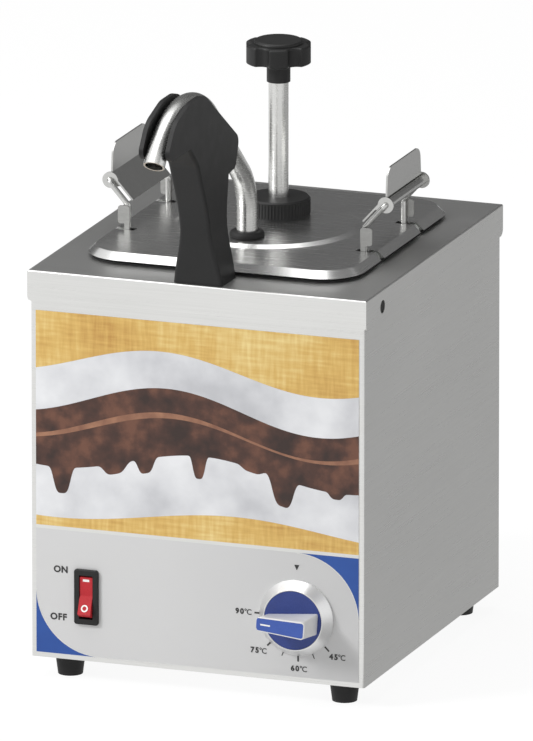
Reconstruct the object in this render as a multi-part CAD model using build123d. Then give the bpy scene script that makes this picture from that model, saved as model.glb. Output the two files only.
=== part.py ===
from build123d import *
import math
import os

# Heated sauce dispenser: a bent-sheet casing, a hung pan, a lid with a hand pump and two wire latches.
# Millimetres. X = 0 is the middle of the casing, Z = 0 the table top. Inside this script Y is measured
# back from the front edge of the top cover; finished pieces are moved so that Y = 0 is mid-depth.

# Sheet metal and casing
sheet = 1.0
bend_radius = 1.4
cover_width = 200.0
cover_depth = 227.0
cover_top = 235.0
skirt_height = 18.0
skirt_corner = 4.0
skirt_gap = 0.5
bottom_flange = 27.0
rear_flange = 12.0
panel_gap = 0.3
screw_gap = 0.2

# Feet
foot_height = 12.4
foot_top_r = 8.65
foot_bottom_r = 7.0
foot_inset_x = 17.2
foot_inset_y = 16.0
foot_pocket_r = 4.2
foot_pocket_depth = 7.5
m4_r = 2.0
m4_head_r = 3.8
m4_head_height = 2.6
m4_nut_flats = 7.0
m4_nut_height = 3.2

# Vents in the base and rear panel
vent_width = 4.0
vent_pitch = 9.0
base_vent_count = 9
base_vent_length = 60.0
rear_vent_count = 9
rear_vent_length = 34.0
rear_vent_drop = 52.0

# Fixing screws in the skirt and the rear panel
skirt_hole_r = 3.75
skirt_hole_back = 27.0
skirt_hole_drop = 9.7
rear_screw_inset_x = 7.0
rear_screw_inset_z = 25.0
m3_r = 1.5
m3_head_r = 2.9
m3_head_height = 1.8
m3_length = 7.0

# Front label
label_thickness = 0.3
label_side_margin = 3.1
label_top_drop = 22.7
label_bottom_margin = 2.9

# Controls
controls_height = 49.6
switch_inset = 34.6
dial_inset = 41.1

# Rocker switch
bezel_width = 14.2
bezel_height = 31.6
bezel_depth = 2.0
bezel_corner = 1.5
bezel_edge = 0.6
switch_body_width = 11.6
switch_body_height = 28.2
switch_body_depth = 17.0
switch_cutout_gap = 0.2
rocker_width = 7.5
rocker_height = 24.5
rocker_gap = 0.3
rocker_pivot_depth = 3.0
rocker_tilt = 11.0
rocker_keel = 3.0
rocker_sink = 0.6
rocker_well_depth = 11.0
rocker_pin_r = 1.0
rocker_pin_gap = 0.05
rocker_pin_reach = 0.9
rocker_pin_play = 0.7
blade_width = 4.8
blade_thick = 0.8
blade_length = 9.0
blade_pitch = 9.0
blade_row = 6.0

# Thermostat and its knob
bezel_ring_r = 21.75
bezel_ring_front_r = 17.4
bezel_ring_edge = 1.2
knob_r = 16.75
knob_face = 7.0
knob_gap = 0.25
knob_back_gap = 0.5
shaft_r = 3.0
shaft_flat = 2.3
shaft_gap = 0.05
shaft_insert = 5.5
shaft_end_gap = 0.2
shaft_tail = 5.5
shaft_hole_r = 5.0
neck_r = 4.6
grip_reach = 15.0
grip_front_reach = 15.7
grip_tail = 14.6
grip_front_tail = 13.0
grip_base_height = 12.6
grip_base_tip = 3.0
grip_base_corner = 1.0
grip_front_height = 10.4
grip_tip_height = 8.4
grip_face = 23.5
grip_turn = 4.0
grip_corner = 2.6
grip_edge_r = 0.7
insert_rim = 0.8
insert_thick = 0.9
insert_gap = 0.05
insert_corner = 1.4
thermostat_width = 36.0
thermostat_height = 34.0
thermostat_depth = 24.0
thermostat_screw_x = 14.0
thermostat_corner = 3.0
neck_gap = 0.1
low_head_r = 2.3
low_head = 0.35

# Pan, well and heater
pan_flange = 10.5
pan_depth = 150.0
pan_corner_r = 24.0
pan_taper = 4.0
pan_floor_r = 9.0
pan_wall = 1.0
pan_gap = 1.5
well_gap = 1.0
well_wall = 1.0
well_flange = 8.0
well_clearance = 6.0
element_r = 3.25
element_gap = 0.05
element_pitch = 26.0
element_length = 104.0
element_bend_r = 10.0
element_terminal_r = 1.5
element_terminal = 9.0
element_runs = 4
clamp_plate_thick = 1.5
clamp_plate_width = 96.0
clamp_plate_length = 60.0
clamp_stud_length = 14.0
bulb_r = 3.0
bulb_length = 62.0
bulb_height = 112.0
bulb_gap = 0.1
capillary_r = 0.9
capillary_bend_r = 14.0
clip_width = 12.0
clip_thick = 0.8
clip_height = 18.0
cutout_r = 8.0
cutout_depth = 8.0
cutout_height = 120.0

# Terminal block and cable gland
block_width = 42.0
block_depth = 18.0
block_height = 15.0
block_back = 178.0
block_hole_r = 2.2
gland_inset = 38.0
gland_z = 46.0
gland_thread_r = 8.0
gland_flange_r = 11.0
gland_flange = 4.0
gland_dome_r = 9.4
gland_dome = 12.0
gland_bore_r = 3.6
gland_nut = 5.0
gland_nut_gap = 0.1
gland_thread = 8.0
gland_dome_edge = 3.0

# Lid and gasket
lid_front_y = 27.0
lid_width = 162.0
lid_depth = 176.0
lid_corner_r = 24.0
lid_overhang = 2.5
lid_top_rise = 6.5
lid_bevel = 4.0
lid_ring_r = 53.0
lid_ring_slope = 3.0
lid_ring_rise = 1.7
gasket_inset = 3.0
gasket_width = 5.0
lid_inner_inset = 0.4

# Latches: bracket under the lid, wire bail through slits in the lid, sheet lever
latch_forward = 2.0
latch_inset = 11.0
latch_leg_span = 64.0
wire_r = 1.6
slit_gap = 0.35
slit_inner = 4.4
ear_thick = 0.8
ear_neck = 3.0
ear_inner = 1.7
ear_outer = 5.3
ear_low = 3.4
ear_high = 13.6
ear_corner = 1.6
bracket_gap = 0.3
bracket_foot = 4.5
bar_gap = 0.1
bail_bend_height = 13.5
bail_out = 11.6
bail_up = 12.9
bail_bend_r = 3.0
bail_stub = 5.0
lever_pin_gap = 0.06
lever_lug_r = 4.6
lever_sheet = 1.0
lever_stand = 3.0
lever_barrel_bite = 0.3
lever_fold = 2.9
lever_toe_gap = 0.6
lever_web = 6.5
lever_web_tip = 3.2
lever_plate_high = 20.3
lever_top_width = 53.0
lever_base_width = 56.0
lever_corner = 7.0

# Pump
pump_y = 133.4
rod_r = 5.65
rod_gap = 0.08
rod_knob_depth = 9.0
collar_r = 17.65
collar_height = 10.6
collar_crown = 2.6
collar_edge = 0.8
neck_bore_r = 10.6
cylinder_r = 14.0
cylinder_neck_r = 13.0
cylinder_flange_r = 17.0
cylinder_flange = 3.0
cylinder_floor = 112.0
thread_gap = 0.05
piston_r = 10.5
piston_height = 12.0
piston_low = 188.0
seal_groove = 1.6
seal_height = 3.0
seal_gap = 0.04
rod_end_r = 4.0
rod_end_reach = 1.0
piston_nut_flats = 10.0
piston_nut_height = 3.2
hub_r = 6.65
hub_height = 11.0
hub_low = 320.0
knob_lobe_r = 18.75
knob_lobes = 6
knob_notch_r = 5.0
knob_notch_out = 20.6
knob_height = 11.0
knob_crown = 2.0
knob_crown_r = 13.75
knob_edge_r = 1.2
knob_crown_edge = 1.6
knob_turn = 20.0
spring_wire_r = 0.8
spring_turns = 8
spring_r = 7.6
spring_seat_gap = 0.15
pump_foot_low = 90.0
pump_foot_wall = 4.5
foot_socket = 6.0
port_r = 3.6
chamber_r = 6.0
ball_r = 4.4
ball_rest_gap = 0.15
channel_height = 104.5

# Discharge tube: up through the lid, forward bend, rising straight, crest and mouth
tube_y = 82.0
tube_r = 6.0
tube_bore_r = 5.0
tube_rise = 22.5
tube_rear_bend_r = 35.0
tube_rear_steps = 7
tube_climb = 41.0
tube_straight = 67.0
tube_crest_r = 60.0
tube_mouth_drop = 52.0
grommet_r = 9.8
grommet_height = 3.6
grommet_round = 2.2
grommet_base_round = 0.7
grommet_lip = 3.0
grommet_lip_r = 8.8
grommet_groove_r = 8.2
grommet_gap = 0.15

# Spout holder
holder_half = 9.0
holder_slot_gap = 0.5
holder_foot_half = 14.5
holder_foot_height = 4.0
holder_waist_height = 36.0
holder_foot_front = 2.0
holder_foot_back = 24.0
holder_top = 113.2
holder_throat_y = -35.0
holder_nose_y = -63.0
holder_nose_low = 86.8
holder_nose_front = -68.5
holder_nose_high = 91.5
holder_brow_y = -57.5
holder_brow_high = 106.3
holder_crest_front = -34.0
holder_crest_back = -12.0
holder_heel_y = 45.0
holder_heel_high = 75.0
holder_heel_under = 39.0
holder_heel_low = 59.0
holder_neck_front = -21.0
holder_neck_high = 74.0
holder_neck_back = 28.0
holder_neck_low = 58.0
holder_shin_front = -4.0
holder_shin_high = 40.0
holder_shin_back = 25.0
holder_head_low = 40.0
holder_nose_r = 4.0
holder_brow_r = 20.0
holder_crest_r = 25.0
holder_heel_r = 6.0
holder_neck_r = 12.0
holder_edge_r = 2.0
holder_bend_r = 60.0
holder_foot_lean = 0.6
holder_screw_depth = 14.0
holder_screw_reach = 12.0
holder_screw_pitch = 14.0

# Wiring
wire_run_r = 1.0
wire_bend_r = 4.0
wire_plug = 2.0
wire_front_y = 12.0
wire_cross_y = 44.0
wire_cross_z = 34.0
wire_side_y = 120.0
wire_back_y = 150.0
wire_rise_z = 60.0
wire_heater_x = 7.0
wire_heater_z = 6.0
wire_drop_z = 24.0
wire_drop_y = 30.0

# Values worked out from the sizes above
cover_under = cover_top - sheet
switch_x = switch_inset - cover_width / 2
dial_x = cover_width / 2 - dial_inset
gland_x = cover_width / 2 - gland_inset
pan_centre_y = lid_front_y + lid_depth / 2
pan_width = lid_width - 2 * (lid_overhang + pan_flange)
pan_length = lid_depth - 2 * (lid_overhang + pan_flange)
latch_x = lid_width / 2 - latch_inset
latch_y = pan_centre_y - latch_forward
body_width = cover_width - 2 * (sheet + skirt_gap)
body_depth = cover_depth - 2 * (sheet + skirt_gap)
body_front = sheet + skirt_gap
body_back = body_front + body_depth
body_side = body_width / 2
body_low = foot_height
flange_top = body_low + sheet
base_top = flange_top + sheet
label_front = body_front - label_thickness
well_width = pan_width + 2 * (pan_gap + well_gap)
well_length = pan_length + 2 * (pan_gap + well_gap)
well_floor = cover_top - pan_depth - well_clearance
well_bottom = well_floor - well_wall
well_side = well_width / 2 + well_wall
well_front = pan_centre_y - well_length / 2 - well_wall
flange_face = cover_top + sheet
lid_top = cover_top + lid_top_rise
lid_under = lid_top - sheet
lid_low = lid_top - lid_bevel
crown_top = lid_top + lid_ring_rise
crown_under = crown_top - sheet
collar_top = crown_top + collar_height
foot_x = body_side - foot_inset_x
foot_ys = [body_front + foot_inset_y, body_back - foot_inset_y]
foot_spots = [(x, y) for x in (-foot_x, foot_x) for y in foot_ys]


def block(x0, x1, y0, y1, z0, z1):
    """A box between its limits."""
    size = Box(x1 - x0, y1 - y0, z1 - z0)
    return Pos((x0 + x1) / 2, (y0 + y1) / 2, (z0 + z1) / 2) * size


def upright(x, y, z0, z1, r):
    """A vertical cylinder between two heights."""
    return Pos(x, y, (z0 + z1) / 2) * Cylinder(r, z1 - z0)


def along_y(x, z, y0, y1, r):
    """A cylinder along Y between two depths."""
    return Pos(x, (y0 + y1) / 2, z) * Rot(90, 0, 0) * Cylinder(r, y1 - y0)


def along_x(y, z, x0, x1, r):
    """A cylinder along X between two sides."""
    return Pos((x0 + x1) / 2, y, z) * Rot(0, 90, 0) * Cylinder(r, abs(x1 - x0))


def rounded_slab(width, depth, radius, z0, z1, y):
    """An upright slab with rounded corners, centred on X = 0."""
    return Pos(0, y, z0) * extrude(RectangleRounded(width, depth, radius), z1 - z0)


def side_profile(outline, x0, x1):
    """A (Y, Z) outline carried from x0 to x1."""
    return Pos(x0, 0, 0) * extrude(Plane.YZ * make_face(outline), x1 - x0)


def hexagon(x, y, z0, z1, flats):
    """A vertical hexagonal prism."""
    return Pos(x, y, z0) * extrude(RegularPolygon(flats / 2, 6, major_radius=False), z1 - z0)


def turned(points):
    """A solid of revolution about Z from (radius, height) points."""
    return revolve(Plane.XZ * make_face(Polyline(*points, close=True)), Axis.Z)


def on_panel(x, shape):
    """Stands a shape built with +Z forward on the front label, at the height of the controls."""
    return Pos(x, label_front, controls_height) * Rot(90, 0, 0) * shape


def tube_along(path, radius):
    """A round bar along a path."""
    return sweep(Plane(path @ 0, z_dir=path % 0) * Circle(radius), path=path)


def holes(shape, cutters):
    """A shape with a list of cutters taken away."""
    for cutter in cutters:
        shape = shape - cutter
    return shape


def casing_wrap():
    """Front and both sides bent from one sheet, with flanges for the base and rear panel."""
    skin = block(-body_side, body_side, body_front, body_back - sheet, body_low, cover_under)
    skin = fillet(skin.edges().filter_by(Axis.Z).group_by(Axis.Y)[0], bend_radius)
    inside = body_side - sheet
    hollow = block(-inside, inside, body_front + sheet, body_back, body_low, cover_under)
    wrap = skin - hollow
    for side in (-1, 1):
        outer = side * (body_side - sheet)
        low = sorted((outer, side * (body_side - bottom_flange)))
        wrap = wrap + block(low[0], low[1], body_front + sheet, body_back - sheet, body_low, flange_top)
        rear = sorted((outer, side * (body_side - rear_flange)))
        wrap = wrap + block(rear[0], rear[1], body_back - 2 * sheet, body_back - sheet,
                            flange_top, cover_under)
    wrap = wrap + block(-body_side + sheet, body_side - sheet, body_front + sheet,
                        body_front + bottom_flange, body_low, flange_top)
    cutters = [upright(x, y, body_low - sheet, base_top, m4_r + screw_gap) for x, y in foot_spots]
    cutters = cutters + front_cutouts() + [rear_screw_hole(x, z) for x, z in rear_screw_spots()]
    for side in (-1, 1):
        cutters.append(along_x(skirt_hole_back, cover_top - skirt_hole_drop,
                               side * (body_side - 2 * sheet), side * (body_side + sheet), m4_r + screw_gap))
    return holes(wrap, cutters)


def front_cutouts():
    """Openings for the switch body, the thermostat shaft and its two screws, through panel and label."""
    y0 = label_front - sheet
    y1 = body_front + 2 * sheet
    half_w = switch_body_width / 2 + switch_cutout_gap
    half_h = switch_body_height / 2 + switch_cutout_gap
    cutters = [block(switch_x - half_w, switch_x + half_w, y0, y1,
                     controls_height - half_h, controls_height + half_h)]
    cutters.append(along_y(dial_x, controls_height, y0, y1, shaft_hole_r))
    for x in thermostat_screw_xs():
        cutters.append(along_y(x, controls_height, y0, y1, m3_r + screw_gap))
    return cutters


def thermostat_screw_xs():
    return [dial_x - thermostat_screw_x, dial_x + thermostat_screw_x]


def rear_screw_spots():
    """Places of the rear panel screws, three up each side."""
    x = body_side - rear_screw_inset_x
    low = body_low + rear_screw_inset_z
    high = cover_top - skirt_height - rear_screw_inset_z
    return [(side * x, z) for side in (-1, 1) for z in (low, (low + high) / 2, high)]


def rear_screw_hole(x, z):
    return along_y(x, z, body_back - 3 * sheet, body_back + sheet, m3_r + screw_gap)


def rear_panel():
    """Flat panel on the rear flanges, with upright vents and the gland hole."""
    panel = block(-body_side, body_side, body_back - sheet, body_back, body_low, cover_under)
    cutters = [rear_screw_hole(x, z) for x, z in rear_screw_spots()]
    for i in range(rear_vent_count):
        x = (i - (rear_vent_count - 1) / 2) * vent_pitch
        slot = extrude(Rot(0, 0, 90) * SlotOverall(rear_vent_length, vent_width), 3 * sheet, both=True)
        cutters.append(Pos(x, body_back, cover_top - rear_vent_drop) * Rot(90, 0, 0) * slot)
    cutters.append(along_y(gland_x, gland_z, body_back - 3 * sheet, body_back + sheet,
                           gland_thread_r + screw_gap))
    return holes(panel, cutters)


def base_plate():
    """Plate that lies on the bottom flanges, with cooling slots."""
    plate = block(-body_side + sheet + panel_gap, body_side - sheet - panel_gap,
                  body_front + sheet + panel_gap, body_back - 2 * sheet - panel_gap, flange_top, base_top)
    cutters = [upright(x, y, body_low, base_top + sheet, m4_r + screw_gap) for x, y in foot_spots]
    for i in range(base_vent_count):
        x = (i - (base_vent_count - 1) / 2) * vent_pitch
        slot = extrude(Rot(0, 0, 90) * SlotOverall(base_vent_length, vent_width), 2 * sheet, both=True)
        cutters.append(Pos(x, pan_centre_y, base_top) * slot)
    for x in block_screw_xs():
        cutters.append(upright(x, block_back, body_low, base_top + sheet, m3_r + screw_gap))
    return holes(plate, cutters)


def skirt_panel(length):
    """One skirt flange drawn face-on, hanging from the cover top, with rounded lower corners."""
    face = Pos(0, -skirt_height / 2) * Rectangle(length, skirt_height)
    return fillet(face.vertices().group_by(Axis.Y)[0], skirt_corner)


def top_cover():
    """Cover sheet with four skirts and the pan opening."""
    cover = block(-cover_width / 2, cover_width / 2, 0, cover_depth, cover_under, cover_top)
    front_plane = Plane((0, sheet, cover_top), x_dir=(1, 0, 0), z_dir=(0, -1, 0))
    front = extrude(front_plane * skirt_panel(cover_width), sheet)
    side_plane = Plane((-cover_width / 2, cover_depth / 2, cover_top), x_dir=(0, 1, 0), z_dir=(1, 0, 0))
    left = extrude(side_plane * skirt_panel(cover_depth), sheet)
    cover = cover + front + Pos(0, cover_depth - sheet, 0) * front
    cover = cover + left + Pos(cover_width - sheet, 0, 0) * left
    cover = fillet(cover.faces().sort_by(Axis.Z)[-1].edges(), bend_radius * 0.7)
    opening = rounded_slab(pan_width + 2 * pan_gap, pan_length + 2 * pan_gap, pan_corner_r + pan_gap,
                           cover_under - sheet, cover_top + sheet, pan_centre_y)
    cutters = [opening]
    for side in (-1, 1):
        cutters.append(along_x(skirt_hole_back, cover_top - skirt_hole_drop,
                               side * (cover_width / 2 - 2 * sheet), side * (cover_width / 2 + sheet),
                               skirt_hole_r))
    for x in holder_screw_xs():
        cutters.append(upright(x, holder_screw_y(), cover_under - sheet, cover_top + sheet, m3_r + screw_gap))
    return holes(cover, cutters)


def cover_screws():
    """Dark cap screws that sit in the skirt holes and pass into the casing sides."""
    screws = []
    z = cover_top - skirt_hole_drop
    for side in (-1, 1):
        head = along_x(skirt_hole_back, z, side * body_side, side * (body_side + sheet),
                       skirt_hole_r - screw_gap)
        shank = along_x(skirt_hole_back, z, side * body_side, side * (body_side - m3_length), m4_r)
        screws.append(head + shank)
    return screws


def cover_nuts():
    """Nuts behind the casing sides that the cover screws hold."""
    nuts = []
    for side in (-1, 1):
        nut = hexagon(0, 0, 0, m4_nut_height, m4_nut_flats)
        nut = nut - upright(0, 0, -1, m4_nut_height + 1, m4_r + thread_gap)
        place = Pos(side * (body_side - sheet), skirt_hole_back, cover_top - skirt_hole_drop)
        nuts.append(place * Rot(0, -90 * side, 0) * nut)
    return nuts


def foot(x, y):
    """Tapered rubber foot with a pocket for its screw head."""
    taper = turned([(0, 0), (foot_bottom_r, 0), (foot_top_r, foot_height), (0, foot_height)])
    taper = taper - upright(0, 0, -1, foot_pocket_depth, foot_pocket_r)
    taper = taper - upright(0, 0, 0, foot_height + 1, m4_r + screw_gap)
    return Pos(x, y, 0) * taper


def foot_screw(x, y):
    head = upright(x, y, foot_pocket_depth - m4_head_height, foot_pocket_depth, m4_head_r)
    return head + upright(x, y, foot_pocket_depth, base_top + m4_nut_height + sheet, m4_r)


def foot_nut(x, y):
    nut = hexagon(x, y, base_top, base_top + m4_nut_height, m4_nut_flats)
    return nut - upright(x, y, base_top - 1, base_top + m4_nut_height + 1, m4_r + thread_gap)


def rear_screw(x, z):
    head = along_y(x, z, body_back, body_back + m3_head_height, m3_head_r)
    return fillet(head.faces().sort_by(Axis.Y)[-1].edges(), m3_head_height / 2) + \
        along_y(x, z, body_back - m3_length, body_back, m3_r)


def front_label():
    """Printed sheet on the casing front."""
    half = body_side - label_side_margin
    sheet_face = block(-half, half, label_front, body_front,
                       body_low + label_bottom_margin, cover_top - label_top_drop)
    return holes(sheet_face, front_cutouts())


def switch_housing():
    """Snap-in switch body with a bezel and a well for the rocker."""
    bezel = extrude(RectangleRounded(bezel_width, bezel_height, bezel_corner), bezel_depth)
    bezel = fillet(bezel.faces().sort_by(Axis.Z)[-1].edges(), bezel_edge)
    body = Pos(0, 0, -switch_body_depth / 2) * Box(switch_body_width, switch_body_height, switch_body_depth)
    well = Box(rocker_width + 2 * rocker_gap, rocker_height + 2 * rocker_gap, 2 * rocker_well_depth)
    shell = bezel + body - Pos(0, 0, bezel_depth) * well
    pin_bar = Rot(0, 90, 0) * Cylinder(rocker_pin_r + rocker_pin_gap, bezel_width)
    pin_hole = Pos(0, 0, -rocker_pivot_depth) * pin_bar
    pin_reach = rocker_width + 2 * (rocker_pin_reach + rocker_pin_play)
    pin_span = Box(pin_reach, bezel_height, 2 * rocker_well_depth)
    return on_panel(switch_x, shell - (pin_hole & pin_span))


def switch_rocker():
    """Rocker with two angled faces on a cross pin; at rest its top half is pressed in."""
    half = rocker_height / 2
    lift = half * math.tan(math.radians(rocker_tilt))
    ridge = bezel_depth + rocker_pivot_depth - rocker_sink
    end = Circle(half)
    wedge = make_face(Polyline((-half, -rocker_keel), (half, -rocker_keel), (half, ridge + lift),
                               (0, ridge), (-half, ridge + lift), close=True))
    profile = wedge & end
    bar = extrude(Plane.YZ * profile, rocker_width / 2, both=True)
    bar = bar + Rot(0, 90, 0) * Cylinder(rocker_pin_r, rocker_width + 2 * rocker_pin_reach)
    return on_panel(switch_x, Pos(0, 0, -rocker_pivot_depth) * Rot(-rocker_tilt, 0, 0) * bar)


def switch_terminals():
    """Push-on blades at the back of the switch."""
    blades = []
    for x in (-blade_row / 2, blade_row / 2):
        for y in (-blade_pitch, 0, blade_pitch):
            blade = Box(blade_thick, blade_width, blade_length)
            blades.append(on_panel(switch_x, Pos(x, y, -switch_body_depth - blade_length / 2) * blade))
    return blades


def knob_bezel():
    """Fixed conical ring round the knob."""
    ring = turned([(knob_r + knob_gap, 0), (bezel_ring_r, 0), (bezel_ring_r, bezel_ring_edge),
                   (bezel_ring_front_r, knob_face), (knob_r + knob_gap, knob_face)])
    return on_panel(dial_x, ring)


def knob_disc():
    """Knob disc with a hub bored for the D-shaped shaft."""
    disc = upright(0, 0, knob_back_gap, knob_face, knob_r)
    bore = shaft_section(shaft_gap, knob_back_gap - 1, knob_back_gap + shaft_insert)
    return on_panel(dial_x, disc - bore)


def shaft_section(gap, z0, z1):
    """Round shaft with one flat, flat side towards +X, grown by a clearance."""
    bar = upright(0, 0, z0, z1, shaft_r + gap)
    return bar - block(shaft_flat + gap, 2 * shaft_r, -2 * shaft_r, 2 * shaft_r, z0 - 1, z1 + 1)


def grip_plan(reach, tail, height, tip_height, corner):
    """Plan of the grip bar: a narrower tip towards -X and a square tail, with rounded corners."""
    outline = make_face(Polyline((-reach, -tip_height / 2), (tail, -height / 2), (tail, height / 2),
                                 (-reach, tip_height / 2), close=True))
    return fillet(outline.vertices(), corner)


def grip_bar():
    """Grip bar before its insert is let in."""
    base = grip_plan(grip_reach, grip_tail, grip_base_height, grip_base_tip, grip_base_corner)
    face = grip_plan(grip_front_reach, grip_front_tail, grip_front_height, grip_tip_height, grip_corner)
    bar = loft([Pos(0, 0, knob_face) * base, Pos(0, 0, grip_face) * face])
    return fillet(bar.faces().sort_by(Axis.Z)[-1].edges(), grip_edge_r)


def insert_slab(gap):
    """The insert's slab, a rim inside the grip's front face and open at the tip."""
    rim = insert_rim + gap
    half_tail = grip_front_height / 2 - rim
    half_tip = grip_tip_height / 2 - rim
    tail = grip_front_tail - rim
    tip = -grip_front_reach - sheet
    plan = make_face(Polyline((tip, -half_tip), (tail, -half_tail), (tail, half_tail),
                              (tip, half_tip), close=True))
    plan = fillet(plan.vertices().group_by(Axis.X)[-1], insert_corner)
    return Pos(0, 0, grip_face - insert_thick) * extrude(plan, insert_thick + sheet)


def knob_grip():
    """Tapered grip bar on the disc, its tip a little above level, with a shallow seat for the insert."""
    return on_panel(dial_x, Rot(0, 0, -grip_turn) * (grip_bar() - insert_slab(0)))


def grip_insert():
    """Coloured strip in the grip's front face, flush with it round the tip."""
    return on_panel(dial_x, Rot(0, 0, -grip_turn) * (grip_bar() & insert_slab(insert_gap)))


def thermostat_body():
    """Capillary thermostat behind the panel, with a neck through it."""
    back = -(label_thickness + sheet)
    case = Pos(0, 0, back - thermostat_depth / 2) * Box(thermostat_width, thermostat_height, thermostat_depth)
    case = fillet(case.edges().filter_by(Axis.Z), thermostat_corner)
    case = case + upright(0, 0, back, -neck_gap, neck_r)
    case = case - upright(0, 0, back - shaft_tail, sheet, shaft_r + shaft_gap)
    for x in (-thermostat_screw_x, thermostat_screw_x):
        case = case - upright(x, 0, back - m3_length, sheet, m3_r + thread_gap)
    return on_panel(dial_x, case)


def thermostat_shaft():
    """Spindle from the thermostat into the knob."""
    round_part = upright(0, 0, -label_thickness - sheet - shaft_tail, knob_back_gap, shaft_r)
    end = knob_back_gap + shaft_insert - shaft_end_gap
    return on_panel(dial_x, round_part + shaft_section(0, knob_back_gap, end))


def thermostat_screws():
    """Screws from the panel front into the thermostat, hidden by the bezel ring's hollow."""
    screws = []
    for x in (-thermostat_screw_x, thermostat_screw_x):
        shank = upright(x, 0, -m3_length, 0, m3_r)
        screws.append(on_panel(dial_x, shank + upright(x, 0, 0, low_head, low_head_r)))
    return screws


def pan_shell(grow, taper_low, floor_z, top_z):
    """Tapered tub with rounded corners; grow moves every wall outwards."""
    mouth = RectangleRounded(pan_width + 2 * grow, pan_length + 2 * grow, pan_corner_r + grow)
    top = Pos(0, pan_centre_y, top_z) * mouth
    low = Pos(0, pan_centre_y, floor_z) * RectangleRounded(pan_width + 2 * (grow - taper_low),
                                                           pan_length + 2 * (grow - taper_low),
                                                           pan_corner_r + grow - taper_low)
    tub = loft([low, top])
    return fillet(tub.faces().sort_by(Axis.Z)[0].edges(), pan_floor_r + grow)


def sauce_pan():
    """Drawn pan that hangs by its flange on the cover."""
    floor_z = cover_top - pan_depth
    flange = Pos(0, pan_centre_y, cover_top) * extrude(lid_plan(lid_overhang), sheet)
    tub = pan_shell(0, pan_taper, floor_z, cover_top)
    hollow = pan_shell(-pan_wall, pan_taper, floor_z + pan_wall, cover_top)
    mouth = rounded_slab(pan_width - 2 * pan_wall, pan_length - 2 * pan_wall, pan_corner_r - pan_wall,
                         cover_top - sheet, flange_face + sheet, pan_centre_y)
    return flange + tub - hollow - mouth


def heating_well():
    """Straight-sided tank hung under the cover round the pan."""
    radius = pan_corner_r + pan_gap + well_gap
    shell = rounded_slab(well_width + 2 * well_wall, well_length + 2 * well_wall, radius + well_wall,
                         well_bottom, cover_under, pan_centre_y)
    rim = rounded_slab(well_width + 2 * well_flange, well_length + 2 * well_flange, radius + well_flange,
                       cover_under - well_wall, cover_under, pan_centre_y)
    hollow = rounded_slab(well_width, well_length, radius, well_floor, cover_top, pan_centre_y)
    return shell + rim - hollow


def element_z():
    return well_bottom - element_gap - element_r


def element_xs():
    """Sides of the element's runs."""
    return [element_pitch * (i - (element_runs - 1) / 2) for i in range(element_runs)]


def heater_element():
    """Tubular element laid in three loops under the well, ends to the front."""
    xs = element_xs()
    near = pan_centre_y - element_length / 2
    far = pan_centre_y + element_length / 2
    route = []
    for i, x in enumerate(xs):
        ends = (near, far) if i % 2 == 0 else (far, near)
        route = route + [(x, ends[0], element_z()), (x, ends[1], element_z())]
    bar = tube_along(FilletPolyline(*route, radius=element_bend_r), element_r)
    for x in (xs[0], xs[-1]):
        bar = bar + along_y(x, element_z(), near - element_terminal, near, element_terminal_r)
    return bar


def clamp_stud_xs():
    return [-element_pitch, element_pitch]


def clamp_plate_top():
    return element_z() - element_r - element_gap


def heater_clamp():
    """Plate that holds the element against the well floor."""
    low = clamp_plate_top() - clamp_plate_thick
    plate = block(-clamp_plate_width / 2, clamp_plate_width / 2, pan_centre_y - clamp_plate_length / 2,
                  pan_centre_y + clamp_plate_length / 2, low, clamp_plate_top())
    return holes(plate, [upright(x, pan_centre_y, low - 1, clamp_plate_top() + 1, m4_r + screw_gap)
                         for x in clamp_stud_xs()])


def clamp_studs():
    """Studs welded to the well floor."""
    low = well_bottom - clamp_stud_length
    return [upright(x, pan_centre_y, low, well_bottom, m4_r) for x in clamp_stud_xs()]


def clamp_nuts():
    top = clamp_plate_top() - clamp_plate_thick
    low = top - m4_nut_height
    bore = m4_r + thread_gap
    y = pan_centre_y
    return [hexagon(x, y, low, top, m4_nut_flats) - upright(x, y, low - 1, top + 1, bore)
            for x in clamp_stud_xs()]


def bulb_x():
    return well_side + bulb_gap + bulb_r


def sensor_bulb():
    """Sensing bulb on the well's side with its capillary down to the thermostat."""
    y0 = pan_centre_y - bulb_length / 2
    start_y = body_front + sheet + thermostat_depth / 2
    start_z = controls_height + thermostat_height / 2
    route = FilletPolyline((bulb_x(), start_y, start_z), (bulb_x(), start_y, bulb_height),
                           (bulb_x(), y0, bulb_height), radius=capillary_bend_r)
    return tube_along(route, capillary_r) + along_y(bulb_x(), bulb_height, y0, y0 + bulb_length, bulb_r)


def bulb_clip():
    """Strap over the bulb, welded to the well's side above and below it."""
    y0 = pan_centre_y - clip_width / 2
    y1 = pan_centre_y + clip_width / 2
    reach = bulb_r + bulb_gap
    strap = along_y(bulb_x(), bulb_height, y0, y1, reach + clip_thick)
    strap = strap + block(well_side, well_side + clip_thick, y0, y1,
                          bulb_height - clip_height / 2, bulb_height + clip_height / 2)
    strap = strap - along_y(bulb_x(), bulb_height, y0 - 1, y1 + 1, reach)
    strap = strap - block(well_side - clip_height, well_side, y0 - 1, y1 + 1,
                          bulb_height - clip_height, bulb_height + clip_height)
    return strap - block(well_side - 1, bulb_x(), y0 - 1, y1 + 1, bulb_height - reach, bulb_height + reach)


def thermal_cutout():
    """Button-shaped safety switch on the front of the well."""
    front = well_front - cutout_depth
    can = along_y(0, cutout_height, front, well_front, cutout_r)
    for x in (-blade_width, blade_width):
        can = can + block(x - blade_width / 2, x + blade_width / 2, front - blade_length / 2, front,
                          cutout_height - blade_thick / 2, cutout_height + blade_thick / 2)
    return can


def block_screw_xs():
    return [-block_width / 4, block_width / 4]


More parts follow.
